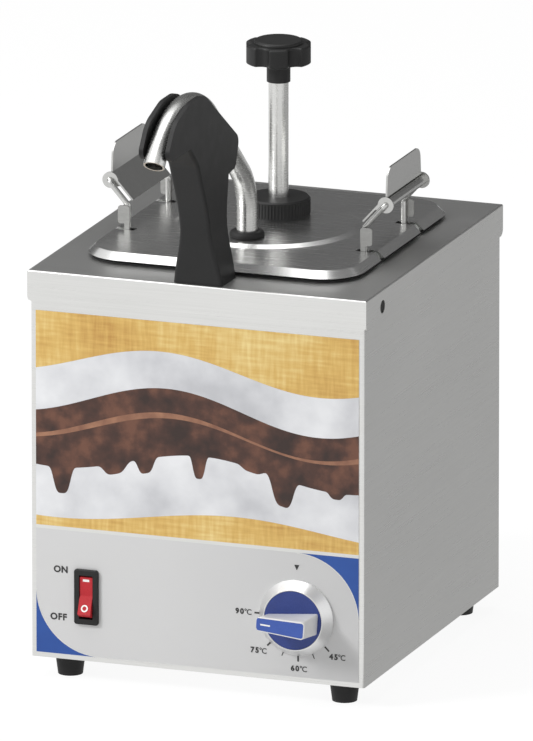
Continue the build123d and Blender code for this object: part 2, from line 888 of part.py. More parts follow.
def terminal_block():
    """Three-way connector block on the base plate."""
    body = block(-block_width / 2, block_width / 2, block_back - block_depth / 2,
                 block_back + block_depth / 2, base_top, base_top + block_height)
    cutters = []
    for i in (-1, 0, 1):
        x = i * block_width / 3
        cutters.append(along_y(x, base_top + block_height / 3, block_back - block_depth,
                               block_back + block_depth, block_hole_r))
        for side in (-1, 1):
            cutters.append(upright(x, block_back + side * block_depth / 4, base_top + block_height / 2,
                                   base_top + 2 * block_height, block_hole_r))
    for x in block_screw_xs():
        cutters.append(upright(x, block_back, base_top - 1, base_top + 2 * block_height, m3_r + screw_gap))
    return holes(body, cutters)


def block_screws():
    """Screws through the block into the base plate."""
    top = base_top + block_height
    low = body_low + sheet / 2
    head = top + m3_head_height
    return [upright(x, block_back, low, top, m3_r) + upright(x, block_back, top, head, m3_head_r)
            for x in block_screw_xs()]


def cable_gland():
    """Gland body with its flange and dome nut, outside the rear panel."""
    y0 = body_back
    body = along_y(gland_x, gland_z, y0 - gland_thread, y0, gland_thread_r)
    collar = extrude(RegularPolygon(gland_flange_r, 6), gland_flange)
    body = body + Pos(gland_x, y0 + gland_flange, gland_z) * Rot(90, 0, 0) * collar
    dome = along_y(gland_x, gland_z, y0 + gland_flange, y0 + gland_flange + gland_dome, gland_dome_r)
    body = body + fillet(dome.faces().sort_by(Axis.Y)[-1].edges(), gland_dome_edge)
    return body - along_y(gland_x, gland_z, y0 - 3 * gland_nut, y0 + 3 * gland_dome, gland_bore_r)


def gland_lock_nut():
    """Lock nut behind the rear panel."""
    nut = extrude(RegularPolygon(gland_flange_r, 6), gland_nut)
    nut = nut - upright(0, 0, -1, gland_nut + 1, gland_thread_r + gland_nut_gap)
    return Pos(gland_x, body_back - sheet, gland_z) * Rot(90, 0, 0) * nut


def latch_leg_ys():
    return [latch_y - latch_leg_span / 2, latch_y + latch_leg_span / 2]


def leg_slits(low):
    """Slits at the latch legs, from inside each leg out through the edge, upwards from a height."""
    inner = latch_x - slit_inner
    outer = lid_width / 2 + 1
    near = wire_r + slit_gap
    far = wire_r + 2 * slit_gap + ear_thick
    cutters = []
    for side in (-1, 1):
        xs = sorted((side * inner, side * outer))
        for end, y in zip((-1, 1), latch_leg_ys()):
            ys = sorted((y - end * near, y + end * far))
            cutters.append(block(xs[0], xs[1], ys[0], ys[1], low, crown_top + 1))
    return cutters


def lid_plan(inset):
    """Outline of the lid, so far in from its edge."""
    return RectangleRounded(lid_width - 2 * inset, lid_depth - 2 * inset, lid_corner_r - inset)


def lid_solid(drop, inset):
    """Bevelled plateau with a raised round crown, shrunk and lowered for the inner face."""
    low = Pos(0, pan_centre_y, lid_low - drop) * lid_plan(inset)
    high = Pos(0, pan_centre_y, lid_top - drop) * lid_plan(lid_bevel + inset)
    crown = turned([(0, -lid_bevel / 2), (lid_ring_r, -lid_bevel / 2), (lid_ring_r, 0),
                    (lid_ring_r - lid_ring_slope, lid_ring_rise), (0, lid_ring_rise)])
    return loft([low, high]) + Pos(0, pan_centre_y, lid_top - drop) * crown


def lid():
    """Lid sheet with holes for the pump neck and the tube, and slits for the latches."""
    shell = lid_solid(0, 0) - lid_solid(sheet, lid_inner_inset)
    cutters = leg_slits(lid_low - 1)
    cutters.append(upright(0, pump_y, lid_low, crown_top + 1, cylinder_neck_r + screw_gap))
    cutters.append(upright(0, tube_y, lid_low, crown_top + 1, grommet_groove_r + grommet_gap))
    return holes(shell, cutters)


def lid_gasket():
    """Silicone ring between the pan flange and the lid."""
    plan = lid_plan(gasket_inset) - lid_plan(gasket_inset + gasket_width)
    ring = Pos(0, pan_centre_y, flange_face) * extrude(plan, lid_under - flange_face)
    ring = ring & lid_solid(sheet, lid_inner_inset + bracket_gap)
    return holes(ring, leg_slits(lid_low))


def bar_z():
    """Height of the bail's hinge bar, just under the lid sheet."""
    return lid_under - bracket_gap - wire_r


def latch_bracket():
    """Right-hand bracket: a channel under the hinge bar with two ears standing through the slits."""
    strip_low = flange_face + bracket_gap
    strip_top = bar_z() - wire_r - bar_gap
    wall_out = latch_x - wire_r - bracket_gap
    wall_in = wall_out - ear_thick
    inner = latch_leg_span / 2 - wire_r - slit_gap
    ear_in = latch_leg_span / 2 + wire_r + slit_gap
    ear_out = ear_in + ear_thick
    bracket = block(wall_in, latch_x + wire_r, latch_y - ear_out, latch_y + ear_out, strip_low, strip_top)
    bracket = bracket + block(wall_in, wall_out, latch_y - inner, latch_y + inner, strip_low, lid_under)
    bracket = bracket + block(wall_in - bracket_foot, wall_out, latch_y - inner, latch_y + inner,
                              lid_under - ear_thick, lid_under)
    head = Pos(latch_x + (ear_outer - ear_inner) / 2, lid_top + (ear_low + ear_high) / 2)
    head_face = head * RectangleRounded(ear_inner + ear_outer, ear_high - ear_low, ear_corner)
    for end in (-1, 1):
        ys = sorted((latch_y + end * ear_in, latch_y + end * ear_out))
        bracket = bracket + block(latch_x - ear_neck / 2, latch_x + ear_neck / 2, ys[0], ys[1],
                                  strip_low, lid_top + ear_low + ear_corner)
        bracket = bracket + Pos(0, ys[1], 0) * extrude(Plane.XZ * head_face, ear_thick)
    return bracket


def lever_pivot():
    """Lever hinge (X, Z) on the right-hand side."""
    return latch_x + bail_out, lid_top + bail_bend_height + bail_up


def lug_outer():
    """Half the distance over the lever's lugs, just inside the bail's arms."""
    return latch_leg_span / 2 - wire_r - bracket_gap


def latch_bail():
    """Right-hand wire bail: hinge bar, two legs, two slanting arms and two end stubs."""
    px, pz = lever_pivot()
    stub = lug_outer() - bail_stub
    bend_z = lid_top + bail_bend_height
    near, far = latch_leg_ys()
    route = [(px, latch_y - stub, pz), (px, near, pz), (latch_x, near, bend_z), (latch_x, near, bar_z()),
             (latch_x, far, bar_z()), (latch_x, far, bend_z), (px, far, pz), (px, latch_y + stub, pz)]
    tight = latch_leg_span / 2 - lug_outer() - bar_gap
    radii = [tight, bail_bend_r, tight, tight, bail_bend_r, tight]
    return tube_along(FilletPolyline(*route, radius=radii), wire_r)


def lever_point(along, inward):
    """A lever point (X, Z): so far up the bail's arm from the pivot, and so far in from the arm."""
    px, pz = lever_pivot()
    arm = math.hypot(bail_out, bail_up)
    ux = bail_out / arm
    uz = bail_up / arm
    return px + along * ux - inward * uz, pz + along * uz + inward * ux


def lever_sides():
    """The lever's outer and inner faces as distances in from the bail's arms."""
    return lever_stand - lever_sheet / 2, lever_stand + lever_sheet / 2


def latch_lever():
    """Right-hand lever: handle plate, flap along the bail's arms, barrel round the pins and two lugs."""
    px, pz = lever_pivot()
    under, over = lever_sides()
    toe = lever_toe_gap - math.hypot(bail_out, bail_up)
    width = 2 * lug_outer()
    flap = Polyline(lever_point(toe, under), lever_point(lever_fold, under),
                    lever_point(lever_fold, over), lever_point(toe, over), close=True)
    lever = Pos(0, latch_y + lug_outer(), 0) * extrude(Plane.XZ * make_face(flap), width)
    ends = (latch_y - lug_outer(), latch_y + lug_outer())
    lever = lever + along_y(px, pz, ends[0], ends[1], under + lever_barrel_bite)
    fold_x, fold_z = lever_point(lever_fold, lever_stand)
    lever = lever + along_y(fold_x, fold_z, ends[0], ends[1], lever_sheet / 2)
    half_top = lever_top_width / 2
    half_base = lever_base_width / 2
    high = pz + lever_plate_high
    outline = FilletPolyline((latch_y - half_base, fold_z), (latch_y + half_base, fold_z),
                             (latch_y + half_top, high), (latch_y - half_top, high),
                             radius=[0, 0, lever_corner, lever_corner], close=True)
    lever = lever + side_profile(outline, fold_x - lever_sheet / 2, fold_x + lever_sheet / 2)
    web = Polyline(lever_point(lever_fold, lever_stand), lever_point(-lever_web, lever_stand),
                   lever_point(-lever_web_tip, -lever_web_tip), (px, pz), close=True)
    lug = make_face(web) + Pos(px, pz) * Circle(lever_lug_r)
    for y in (latch_y + lug_outer(), latch_y - lug_outer() + lever_sheet):
        lever = lever + Pos(0, y, 0) * extrude(Plane.XZ * lug, lever_sheet)
    return lever - along_y(px, pz, latch_y - latch_leg_span, latch_y + latch_leg_span, wire_r + lever_pin_gap)


def left_hand(shape):
    return mirror(shape, about=Plane.YZ)


def lock_collar():
    """Threaded collar that clamps the pump neck to the lid."""
    cap = upright(0, pump_y, crown_top, collar_top, collar_r)
    cap = chamfer(cap.faces().sort_by(Axis.Z)[-1].edges(), collar_edge)
    cap = cap - upright(0, pump_y, crown_top - 1, collar_top - collar_crown, cylinder_neck_r + thread_gap)
    return cap - upright(0, pump_y, crown_top, collar_top + 1, rod_r + rod_gap)


def pump_cylinder():
    """Cylinder with a shoulder under the lid and a neck up into the collar."""
    tube = upright(0, pump_y, cylinder_floor, crown_under, cylinder_r)
    tube = tube + upright(0, pump_y, crown_under - cylinder_flange, crown_under, cylinder_flange_r)
    tube = tube + upright(0, pump_y, crown_under, collar_top - collar_crown - screw_gap, cylinder_neck_r)
    return tube - upright(0, pump_y, cylinder_floor - 1, collar_top, neck_bore_r)


def pump_foot():
    """Casting under the cylinder with the inlet chamber, the cross channel and the tube socket."""
    top = cylinder_floor + foot_socket
    body = upright(0, pump_y, pump_foot_low, top, cylinder_r + pump_foot_wall)
    body = body + upright(0, tube_y, pump_foot_low, top, tube_r + pump_foot_wall)
    half = tube_r + pump_foot_wall / 2
    body = body + block(-half, half, tube_y, pump_y, pump_foot_low, cylinder_floor)
    body = body - upright(0, pump_y, cylinder_floor, top + 1, cylinder_r + thread_gap)
    body = body - upright(0, tube_y, cylinder_floor, top + 1, tube_r + thread_gap)
    body = body - upright(0, pump_y, inlet_seat(), cylinder_floor + 1, chamber_r)
    body = body - upright(0, pump_y, pump_foot_low - 1, inlet_seat() + 1, port_r)
    body = body - along_y(0, channel_height, tube_y, pump_y, port_r)
    return body - upright(0, tube_y, channel_height, cylinder_floor + 1, port_r)


def inlet_seat():
    return pump_foot_low + pump_foot_wall


def ball_rise():
    """Height of a valve ball's centre over its seat."""
    return math.sqrt(ball_r ** 2 - port_r ** 2) + ball_rest_gap


def valve_balls():
    """Inlet and outlet check balls on their seats."""
    inlet = Pos(0, pump_y, inlet_seat() + ball_rise()) * Sphere(ball_r)
    outlet = Pos(0, tube_y, cylinder_floor + ball_rise()) * Sphere(ball_r)
    return [inlet, outlet]


def tube_path():
    """Centre line of the discharge tube in the middle plane, its rear bend in equal steps."""
    path = [Line((tube_y, cylinder_floor), (tube_y, cover_top + tube_rise))]
    step = (90 - tube_climb) / tube_rear_steps
    for _ in range(tube_rear_steps):
        path.append(JernArc(path[-1] @ 1, path[-1] % 1, tube_rear_bend_r, step))
    climb = PolarLine(path[-1] @ 1, tube_straight, direction=path[-1] % 1)
    crest = JernArc(climb @ 1, climb % 1, tube_crest_r, tube_climb + tube_mouth_drop)
    return path + [climb, crest]


def discharge_tube():
    """Bent tube from the pump foot to the spout mouth."""
    path = Plane.YZ * Wire(tube_path())
    return tube_along(path, tube_r) - tube_along(path, tube_bore_r)


def tube_grommet():
    """Rubber grommet that seals the tube in the lid: a rounded ring over a groove and a lip."""
    bead = Cylinder(grommet_r, grommet_height, align=(Align.CENTER, Align.CENTER, Align.MIN))
    bead = fillet(bead.edges().filter_by(GeomType.CIRCLE).sort_by(Axis.Z)[-1], grommet_round)
    bead = fillet(bead.edges().filter_by(GeomType.CIRCLE).sort_by(Axis.Z)[0], grommet_base_round)
    low = -sheet - grommet_lip
    bead = bead + upright(0, 0, -sheet, grommet_round, grommet_groove_r)
    bead = bead + upright(0, 0, low, -sheet, grommet_lip_r)
    bead = bead - upright(0, 0, low - 1, grommet_height + 1, tube_r + grommet_gap)
    return Pos(0, tube_y, crown_top) * bead


def plunger_rod():
    """Rod with a reduced end for the piston."""
    top = hub_low + rod_knob_depth
    rod = upright(0, pump_y, piston_low + piston_height, top, rod_r)
    low = piston_low - piston_nut_height - rod_end_reach
    return rod + upright(0, pump_y, low, piston_low + piston_height, rod_end_r)


def piston():
    """Piston with a groove for its seal."""
    body = upright(0, pump_y, piston_low, piston_low + piston_height, piston_r)
    middle = piston_low + piston_height / 2
    groove = upright(0, pump_y, middle - seal_height / 2, middle + seal_height / 2, piston_r + 1)
    groove = groove - upright(0, pump_y, middle - seal_height, middle + seal_height, piston_r - seal_groove)
    bore = upright(0, pump_y, piston_low - 1, piston_low + piston_height + 1, rod_end_r + thread_gap)
    return body - groove - bore


def piston_seal():
    """Sealing ring in the piston's groove."""
    middle = piston_low + piston_height / 2
    ring = upright(0, pump_y, middle - seal_height / 2, middle + seal_height / 2, neck_bore_r - seal_gap)
    return ring - upright(0, pump_y, middle - seal_height, middle + seal_height, piston_r - seal_groove)


def piston_nut():
    """Nut that holds the piston on the rod."""
    low = piston_low - piston_nut_height
    nut = hexagon(0, pump_y, low, piston_low, piston_nut_flats)
    return nut - upright(0, pump_y, low - 1, piston_low + 1, rod_end_r + thread_gap)


def return_spring():
    """Coil spring under the piston."""
    low = cylinder_floor + spring_seat_gap + spring_wire_r
    high = piston_low - spring_seat_gap - spring_wire_r
    coil = Helix((high - low) / spring_turns, high - low, spring_r)
    return Pos(0, pump_y, low) * tube_along(coil, spring_wire_r)


def pump_knob():
    """Lobed hand knob with a hub bored for the rod."""
    plan = Circle(knob_lobe_r)
    plan = plan - PolarLocations(knob_notch_out, knob_lobes, start_angle=knob_turn) * Circle(knob_notch_r)
    plan = fillet(plan.vertices(), knob_edge_r)
    low = hub_low + hub_height
    disc = extrude(plan, knob_height)
    rims = disc.faces().sort_by(Axis.Z)[-1].edges() + disc.faces().sort_by(Axis.Z)[0].edges()
    disc = fillet(rims, knob_edge_r)
    crown = upright(0, 0, knob_height, knob_height + knob_crown, knob_crown_r)
    crown = fillet(crown.faces().sort_by(Axis.Z)[-1].edges(), knob_crown_edge)
    knob = Pos(0, pump_y, low) * (disc + crown) + upright(0, pump_y, hub_low, low, hub_r)
    return knob - upright(0, pump_y, hub_low - 1, hub_low + rod_knob_depth, rod_r + thread_gap)


def slot_outline():
    """Outline of the holder's slot: the tube's belly below, open in front and above."""
    gap = tube_r + holder_slot_gap
    over = cover_top + cover_depth
    slope = math.radians(tube_climb)
    inward = Vector(-math.sin(slope), -math.cos(slope)) * gap
    climb = tube_path()[-2]
    start = climb @ 0 + inward
    crest = JernArc(climb @ 1 + inward, climb % 1, tube_crest_r - gap, tube_climb + tube_mouth_drop)
    tip = crest @ 1 + (crest % 1) * gap
    front = tip.X - over
    return make_face([Line(start, crest @ 0), crest, Line(crest @ 1, tip), Line(tip, (front, tip.Y)),
                      Line((front, tip.Y), (front, over)), Line((front, over), (start.X, over)),
                      Line((start.X, over), start)])


def holder_head():
    """The two cheeks as one block, from the nose over the crest to the heel."""
    z = cover_top
    outline = FilletPolyline((holder_throat_y, z + holder_nose_low), (holder_nose_y, z + holder_nose_low),
                             (holder_nose_front, z + holder_nose_high), (holder_brow_y, z + holder_brow_high),
                             (holder_crest_front, z + holder_top), (holder_crest_back, z + holder_top),
                             (holder_heel_y, z + holder_heel_high), (holder_heel_under, z + holder_heel_low),
                             (holder_neck_back, z + holder_neck_low), (holder_shin_back, z + holder_head_low),
                             (holder_shin_front, z + holder_head_low),
                             (holder_neck_front, z + holder_neck_high),
                             radius=[0, holder_nose_r, holder_nose_r, holder_brow_r,
                                     holder_crest_r, holder_crest_r, holder_heel_r, holder_nose_r,
                                     0, 0, 0, holder_neck_r], close=True)
    return side_profile(outline, -holder_half, holder_half)


def holder_post():
    """The post, curved from the side and waisted from the front."""
    z = cover_top
    high = z + holder_neck_high
    side = FilletPolyline((holder_foot_front, z), (holder_shin_front, z + holder_shin_high),
                          (holder_neck_front, high), (holder_neck_back, high),
                          (holder_neck_back, z + holder_neck_low),
                          (holder_shin_back, z + holder_shin_high), (holder_foot_back, z),
                          radius=[0, holder_bend_r, 0, 0, 0, holder_bend_r, 0], close=True)
    foot_edge = (holder_foot_half - holder_foot_lean, z + holder_foot_height)
    waist = (holder_half, z + holder_waist_height)
    flare = Spline(foot_edge, waist, tangents=[(-holder_foot_lean, holder_foot_height), (0, 1)])
    right = [Line((holder_foot_half, z), foot_edge), flare, Line(waist, (holder_half, high))]
    left = [mirror(edge, about=Plane.YZ) for edge in right]
    ends = [Line((-holder_foot_half, z), (holder_foot_half, z)),
            Line((-holder_half, high), (holder_half, high))]
    front = Pos(0, cover_depth, 0) * extrude(Plane.XZ * make_face(right + left + ends), 2 * cover_depth)
    return side_profile(side, -holder_foot_half, holder_foot_half) & front


def post_corners(body):
    """The post's two upright front corners, from the foot to the throat."""
    corners = body.edges().filter_by(lambda e: abs((e @ 0.5).X) > holder_half - screw_gap)
    corners = corners.filter_by(lambda e: holder_throat_y < (e @ 0.5).Y < holder_foot_front)
    return corners.filter_by(lambda e: (e @ 0.5).Z < cover_top + holder_nose_low)


def spout_holder():
    """Moulded post with a flared foot and two cheeks that guide the tube."""
    half = tube_r + holder_slot_gap
    body = holder_post() + holder_head()
    body = fillet(post_corners(body), holder_edge_r)
    body = body - Pos(-half, 0, 0) * extrude(Plane.YZ * slot_outline(), 2 * half)
    deep = cover_top + holder_screw_depth
    return holes(body, [upright(x, holder_screw_y(), cover_under, deep, m3_r + thread_gap)
                        for x in holder_screw_xs()])


def holder_screw_xs():
    return [-holder_screw_pitch / 2, holder_screw_pitch / 2]


def holder_screw_y():
    return (holder_foot_front + holder_foot_back) / 2


def holder_screws():
    """Screws from under the cover into the holder's foot."""
    y = holder_screw_y()
    return [upright(x, y, cover_under - m3_head_height, cover_under, m3_head_r)
            + upright(x, y, cover_under, cover_top + holder_screw_reach, m3_r) for x in holder_screw_xs()]


def wire(points):
    """One insulated wire through its points."""
    return tube_along(FilletPolyline(*points, radius=wire_bend_r), wire_run_r)


def wiring():
    """Wires from the terminal block through switch, thermostat, heater and cut-out."""
    block_x = block_width / 3
    block_y = block_back - block_depth / 2 + wire_plug
    block_z = base_top + block_height / 3
    blade_y = label_front + switch_body_depth + blade_length
    blade_z = controls_height - blade_pitch
    left_blade = switch_x - blade_row / 2
    right_blade = switch_x + blade_row / 2
    back_y = body_front + sheet + thermostat_depth
    end_y = pan_centre_y - element_length / 2 - element_terminal
    heater_left = element_xs()[0]
    heater_right = element_xs()[-1]
    dial_left = dial_x - thermostat_screw_x
    dial_right = dial_x + wire_heater_x
    dial_high = controls_height + wire_heater_z
    cutout_y = well_front - cutout_depth - blade_length / 2
    front_y = wire_cross_y - wire_front_y / 2
    live = wire([(-block_x, block_y, block_z), (-block_x, wire_back_y, block_z),
                 (left_blade, wire_side_y, block_z), (left_blade, wire_cross_y, blade_z),
                 (left_blade, blade_y, blade_z)])
    feed = wire([(right_blade, blade_y, blade_z), (right_blade, wire_cross_y, blade_z),
                 (right_blade + block_x, wire_cross_y, wire_cross_z),
                 (dial_left - block_x, wire_cross_y, wire_cross_z),
                 (dial_left, wire_cross_y, blade_z), (dial_left, back_y, blade_z)])
    heat = wire([(dial_right, back_y, dial_high), (dial_right, front_y, dial_high),
                 (heater_right, front_y, element_z()), (heater_right, end_y, element_z())])
    link = wire([(heater_left, end_y, element_z()), (heater_left, wire_front_y + wire_bend_r, element_z()),
                 (-blade_width, wire_front_y, cutout_height - 5 * wire_bend_r),
                 (-blade_width, wire_front_y, cutout_height), (-blade_width, cutout_y, cutout_height)])
    back = wire([(blade_width, cutout_y, cutout_height), (blade_width, wire_front_y, cutout_height),
                 (blade_width, wire_front_y, wire_rise_z), (block_x, wire_drop_y, wire_drop_z),
                 (block_x, wire_back_y, block_z), (block_x, block_y, block_z)])
    return [live, feed, heat, link, back]


def rear_reach():
    return body_back + gland_flange + gland_dome


def front_reach():
    """How far the spout's lip reaches in front of the cover's front edge."""
    mouth = tube_path()[-1] @ 1
    lip = tube_r * math.sin(math.radians(tube_mouth_drop))
    return mouth.X - lip


middle_y = (front_reach() + rear_reach()) / 2


def save(name, shapes):
    """Moves a piece, or a group of like pieces, to the finished frame and writes it."""
    pieces = shapes if isinstance(shapes, list) else [shapes]
    placed = [Pos(0, -middle_y, 0) * piece for piece in pieces]
    export_step(placed[0] if len(placed) == 1 else Compound(children=placed), "parts/" + name + ".step")


os.makedirs("parts", exist_ok=True)
save("casing_wrap", casing_wrap())
save("rear_panel", rear_panel())
save("base_plate", base_plate())
save("top_cover", top_cover())
save("cover_screws", cover_screws())
save("cover_nuts", cover_nuts())
save("feet", [foot(x, y) for x, y in foot_spots])
save("foot_screws", [foot_screw(x, y) for x, y in foot_spots])
save("foot_nuts", [foot_nut(x, y) for x, y in foot_spots])
save("rear_panel_screws", [rear_screw(x, z) for x, z in rear_screw_spots()])
save("front_label", front_label())
save("switch_housing", switch_housing())
save("switch_rocker", switch_rocker())
save("switch_terminals", switch_terminals())
save("knob_bezel", knob_bezel())
save("knob_disc", knob_disc())
save("knob_grip", knob_grip())
save("grip_insert", grip_insert())
save("thermostat_body", thermostat_body())
save("thermostat_shaft", thermostat_shaft())
save("thermostat_screws", thermostat_screws())
save("sensor_bulb", sensor_bulb())
save("bulb_clip", bulb_clip())
save("thermal_cutout", thermal_cutout())
save("heating_well", heating_well())
save("heater_element", heater_element())
save("heater_clamp", heater_clamp())
save("clamp_studs", clamp_studs())
save("clamp_nuts", clamp_nuts())
save("terminal_block", terminal_block())
save("block_screws", block_screws())
save("cable_gland", cable_gland())
save("gland_lock_nut", gland_lock_nut())
save("wiring", wiring())
save("spout_holder", spout_holder())
save("holder_screws", holder_screws())
save("sauce_pan", sauce_pan())
save("lid", lid())
save("lid_gasket", lid_gasket())
save("right_latch_bracket", latch_bracket())
save("left_latch_bracket", left_hand(latch_bracket()))
save("right_latch_bail", latch_bail())
save("left_latch_bail", left_hand(latch_bail()))
save("right_latch_lever", latch_lever())
save("left_latch_lever", left_hand(latch_lever()))
save("lock_collar", lock_collar())
save("pump_cylinder", pump_cylinder())
save("pump_foot", pump_foot())
save("valve_balls", valve_balls())
save("discharge_tube", discharge_tube())
save("tube_grommet", tube_grommet())
save("plunger_rod", plunger_rod())
save("piston", piston())
save("piston_seal", piston_seal())
save("piston_nut", piston_nut())
save("return_spring", return_spring())
save("pump_knob", pump_knob())
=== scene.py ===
import math

import bmesh
import bpy
from mathutils import Matrix, Vector


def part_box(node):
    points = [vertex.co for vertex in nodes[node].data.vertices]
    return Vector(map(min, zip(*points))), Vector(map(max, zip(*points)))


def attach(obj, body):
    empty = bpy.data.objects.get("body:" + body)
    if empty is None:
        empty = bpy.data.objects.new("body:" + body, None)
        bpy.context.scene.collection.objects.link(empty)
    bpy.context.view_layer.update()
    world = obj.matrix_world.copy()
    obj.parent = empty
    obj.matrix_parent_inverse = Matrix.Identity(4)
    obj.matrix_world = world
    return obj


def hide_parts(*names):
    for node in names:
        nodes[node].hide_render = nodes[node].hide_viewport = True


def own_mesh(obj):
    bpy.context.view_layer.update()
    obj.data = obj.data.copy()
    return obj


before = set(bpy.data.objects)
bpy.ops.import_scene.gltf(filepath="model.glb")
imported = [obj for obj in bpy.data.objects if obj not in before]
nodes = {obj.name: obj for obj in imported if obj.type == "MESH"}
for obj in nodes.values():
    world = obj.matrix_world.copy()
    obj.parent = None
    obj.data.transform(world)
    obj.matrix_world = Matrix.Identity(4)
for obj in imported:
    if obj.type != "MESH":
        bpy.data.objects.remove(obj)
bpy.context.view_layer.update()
MM = 0.001
# Noise stays mostly between these two values, so tone and roughness run from one to the other
NOISE_LOW, NOISE_HIGH = 0.3, 0.7
# A face whose normal rises more than this counts as a top
TOP_RISE = 0.8


def ink(code):
    """An sRGB hex colour as linear RGBA."""
    parts = [int(code[i:i + 2], 16) / 255 for i in (1, 3, 5)]
    return [p / 12.92 if p <= 0.04045 else ((p + 0.055) / 1.055) ** 2.4 for p in parts] + [1.0]


def set_stops(colour_ramp, stops):
    """Gives a colour ramp its (place, hex) stops."""
    while len(colour_ramp.elements) < len(stops):
        colour_ramp.elements.new(0.5)
    for element, (place, code) in zip(colour_ramp.elements, stops):
        element.position = place
        element.color = ink(code)


def add(tree, kind, settings=None, inputs=None):
    """Adds a node with its settings, and sets or links its inputs."""
    made = tree.nodes.new(kind)
    for key, value in (settings or {}).items():
        if key == "stops":
            set_stops(made.color_ramp, value)
        else:
            setattr(made, key, value)
    for key, value in (inputs or {}).items():
        if isinstance(value, bpy.types.NodeSocket):
            tree.links.new(value, made.inputs[key])
        else:
            made.inputs[key].default_value = value
    return made


def blank(name):
    """An empty node material."""
    made = bpy.data.materials.new(name)
    made.use_nodes = True
    made.node_tree.nodes.clear()
    return made, made.node_tree


def brushed_metal(name, dark, pale, roughness, line_mm, run_mm, relief=0.08, spread=0.055, top=None):
    """Metal with a straight brush: fine bands along the run, level on walls and across X on tops. Given top
    stops, the tops take more roughness and their own tone, which is painted shade.
    """
    made, tree = blank(name)
    place = add(tree, "ShaderNodeTexCoord").outputs["Object"]
    fine = 1 / (line_mm * MM)
    run = 1 / (run_mm * MM)
    wall = add(tree, "ShaderNodeMapping", inputs={"Vector": place, "Scale": (run, run, fine)})
    flat = add(tree, "ShaderNodeMapping", inputs={"Vector": place, "Scale": (run, fine, run)})
    grain = {"Scale": 1.0, "Detail": 3.0, "Roughness": 0.65}
    wall_noise = add(tree, "ShaderNodeTexNoise", inputs=dict(grain, Vector=wall.outputs[0])).outputs["Fac"]
    top_noise = add(tree, "ShaderNodeTexNoise", inputs=dict(grain, Vector=flat.outputs[0])).outputs["Fac"]
    facing = add(tree, "ShaderNodeNewGeometry").outputs["Normal"]
    rise = add(tree, "ShaderNodeSeparateXYZ", inputs={0: facing}).outputs["Z"]
    level = add(tree, "ShaderNodeMath", {"operation": "GREATER_THAN"}, {0: rise, 1: TOP_RISE}).outputs[0]
    lines = add(tree, "ShaderNodeMix", inputs={0: level, 2: wall_noise, 3: top_noise}).outputs[0]
    cloud = add(tree, "ShaderNodeTexNoise",
                inputs={"Vector": place, "Scale": 14.0, "Detail": 2.0}).outputs["Fac"]
    tone = add(tree, "ShaderNodeMix", inputs={0: 0.3, 2: lines, 3: cloud}).outputs[0]
    rough = add(tree, "ShaderNodeMapRange",
                inputs={0: lines, 1: NOISE_LOW, 2: NOISE_HIGH,
                        3: roughness - spread, 4: roughness + spread}).outputs[0]
    colour = add(tree, "ShaderNodeValToRGB", {"stops": [(NOISE_LOW, dark), (NOISE_HIGH, pale)]},
                 {"Fac": tone}).outputs["Color"]
    # Painted shade: the tops take their own darker stops than the walls of the same sheet
    if top:
        painted_shade_top_dark, painted_shade_top_pale, more_rough = top
        rough = add(tree, "ShaderNodeMath", {"operation": "MULTIPLY_ADD"},
                    {0: level, 1: more_rough, 2: rough}).outputs[0]
        painted_shade_top_stops = [(NOISE_LOW, painted_shade_top_dark), (NOISE_HIGH, painted_shade_top_pale)]
        painted_shade_top_colour = add(tree, "ShaderNodeValToRGB", {"stops": painted_shade_top_stops}, {"Fac": tone}).outputs["Color"]
        colour = add(tree, "ShaderNodeMix", {"data_type": "RGBA"},
                     {0: level, 6: colour, 7: painted_shade_top_colour}).outputs[2]
    bumps = add(tree, "ShaderNodeBump", inputs={"Strength": relief, "Distance": 0.02 * MM, "Height": lines})
    shader = add(tree, "ShaderNodeBsdfPrincipled",
                 inputs={"Base Color": colour, "Metallic": 1.0,
                         "Roughness": rough, "Normal": bumps.outputs[0]})
    add(tree, "ShaderNodeOutputMaterial", inputs={"Surface": shader.outputs[0]})
    return made


def moulded(name, dark, pale, roughness, grain_mm, relief_mm, spread_mm=9.0, coat=0.0, gloss=0.5):
    """Moulded plastic or rubber: a fine spark-eroded grain and slow drifts of tone and gloss."""
    made, tree = blank(name)
    place = add(tree, "ShaderNodeTexCoord").outputs["Object"]
    grain = add(tree, "ShaderNodeTexNoise",
                inputs={"Vector": place, "Scale": 1 / (grain_mm * MM), "Detail": 2.0}).outputs["Fac"]
    drift = add(tree, "ShaderNodeTexNoise",
                inputs={"Vector": place, "Scale": 1 / (spread_mm * MM), "Detail": 1.0}).outputs["Fac"]
    tone = add(tree, "ShaderNodeMix", inputs={0: 0.45, 2: grain, 3: drift}).outputs[0]
    rough = add(tree, "ShaderNodeMapRange",
                inputs={0: drift, 1: NOISE_LOW, 2: NOISE_HIGH,
                        3: roughness - 0.02, 4: roughness + 0.02}).outputs[0]
    relief = add(tree, "ShaderNodeBump",
                 inputs={"Strength": 0.25, "Distance": relief_mm * MM, "Height": grain})
    colour = add(tree, "ShaderNodeValToRGB", {"stops": [(NOISE_LOW, dark), (NOISE_HIGH, pale)]},
                 {"Fac": tone}).outputs["Color"]
    shader = add(tree, "ShaderNodeBsdfPrincipled",
                 inputs={"Base Color": colour,
                         "Roughness": rough, "Normal": relief.outputs[0], "Coat Weight": coat,
                         "Coat Roughness": 0.1, "Specular IOR Level": gloss})
    add(tree, "ShaderNodeOutputMaterial", inputs={"Surface": shader.outputs[0]})
    return made


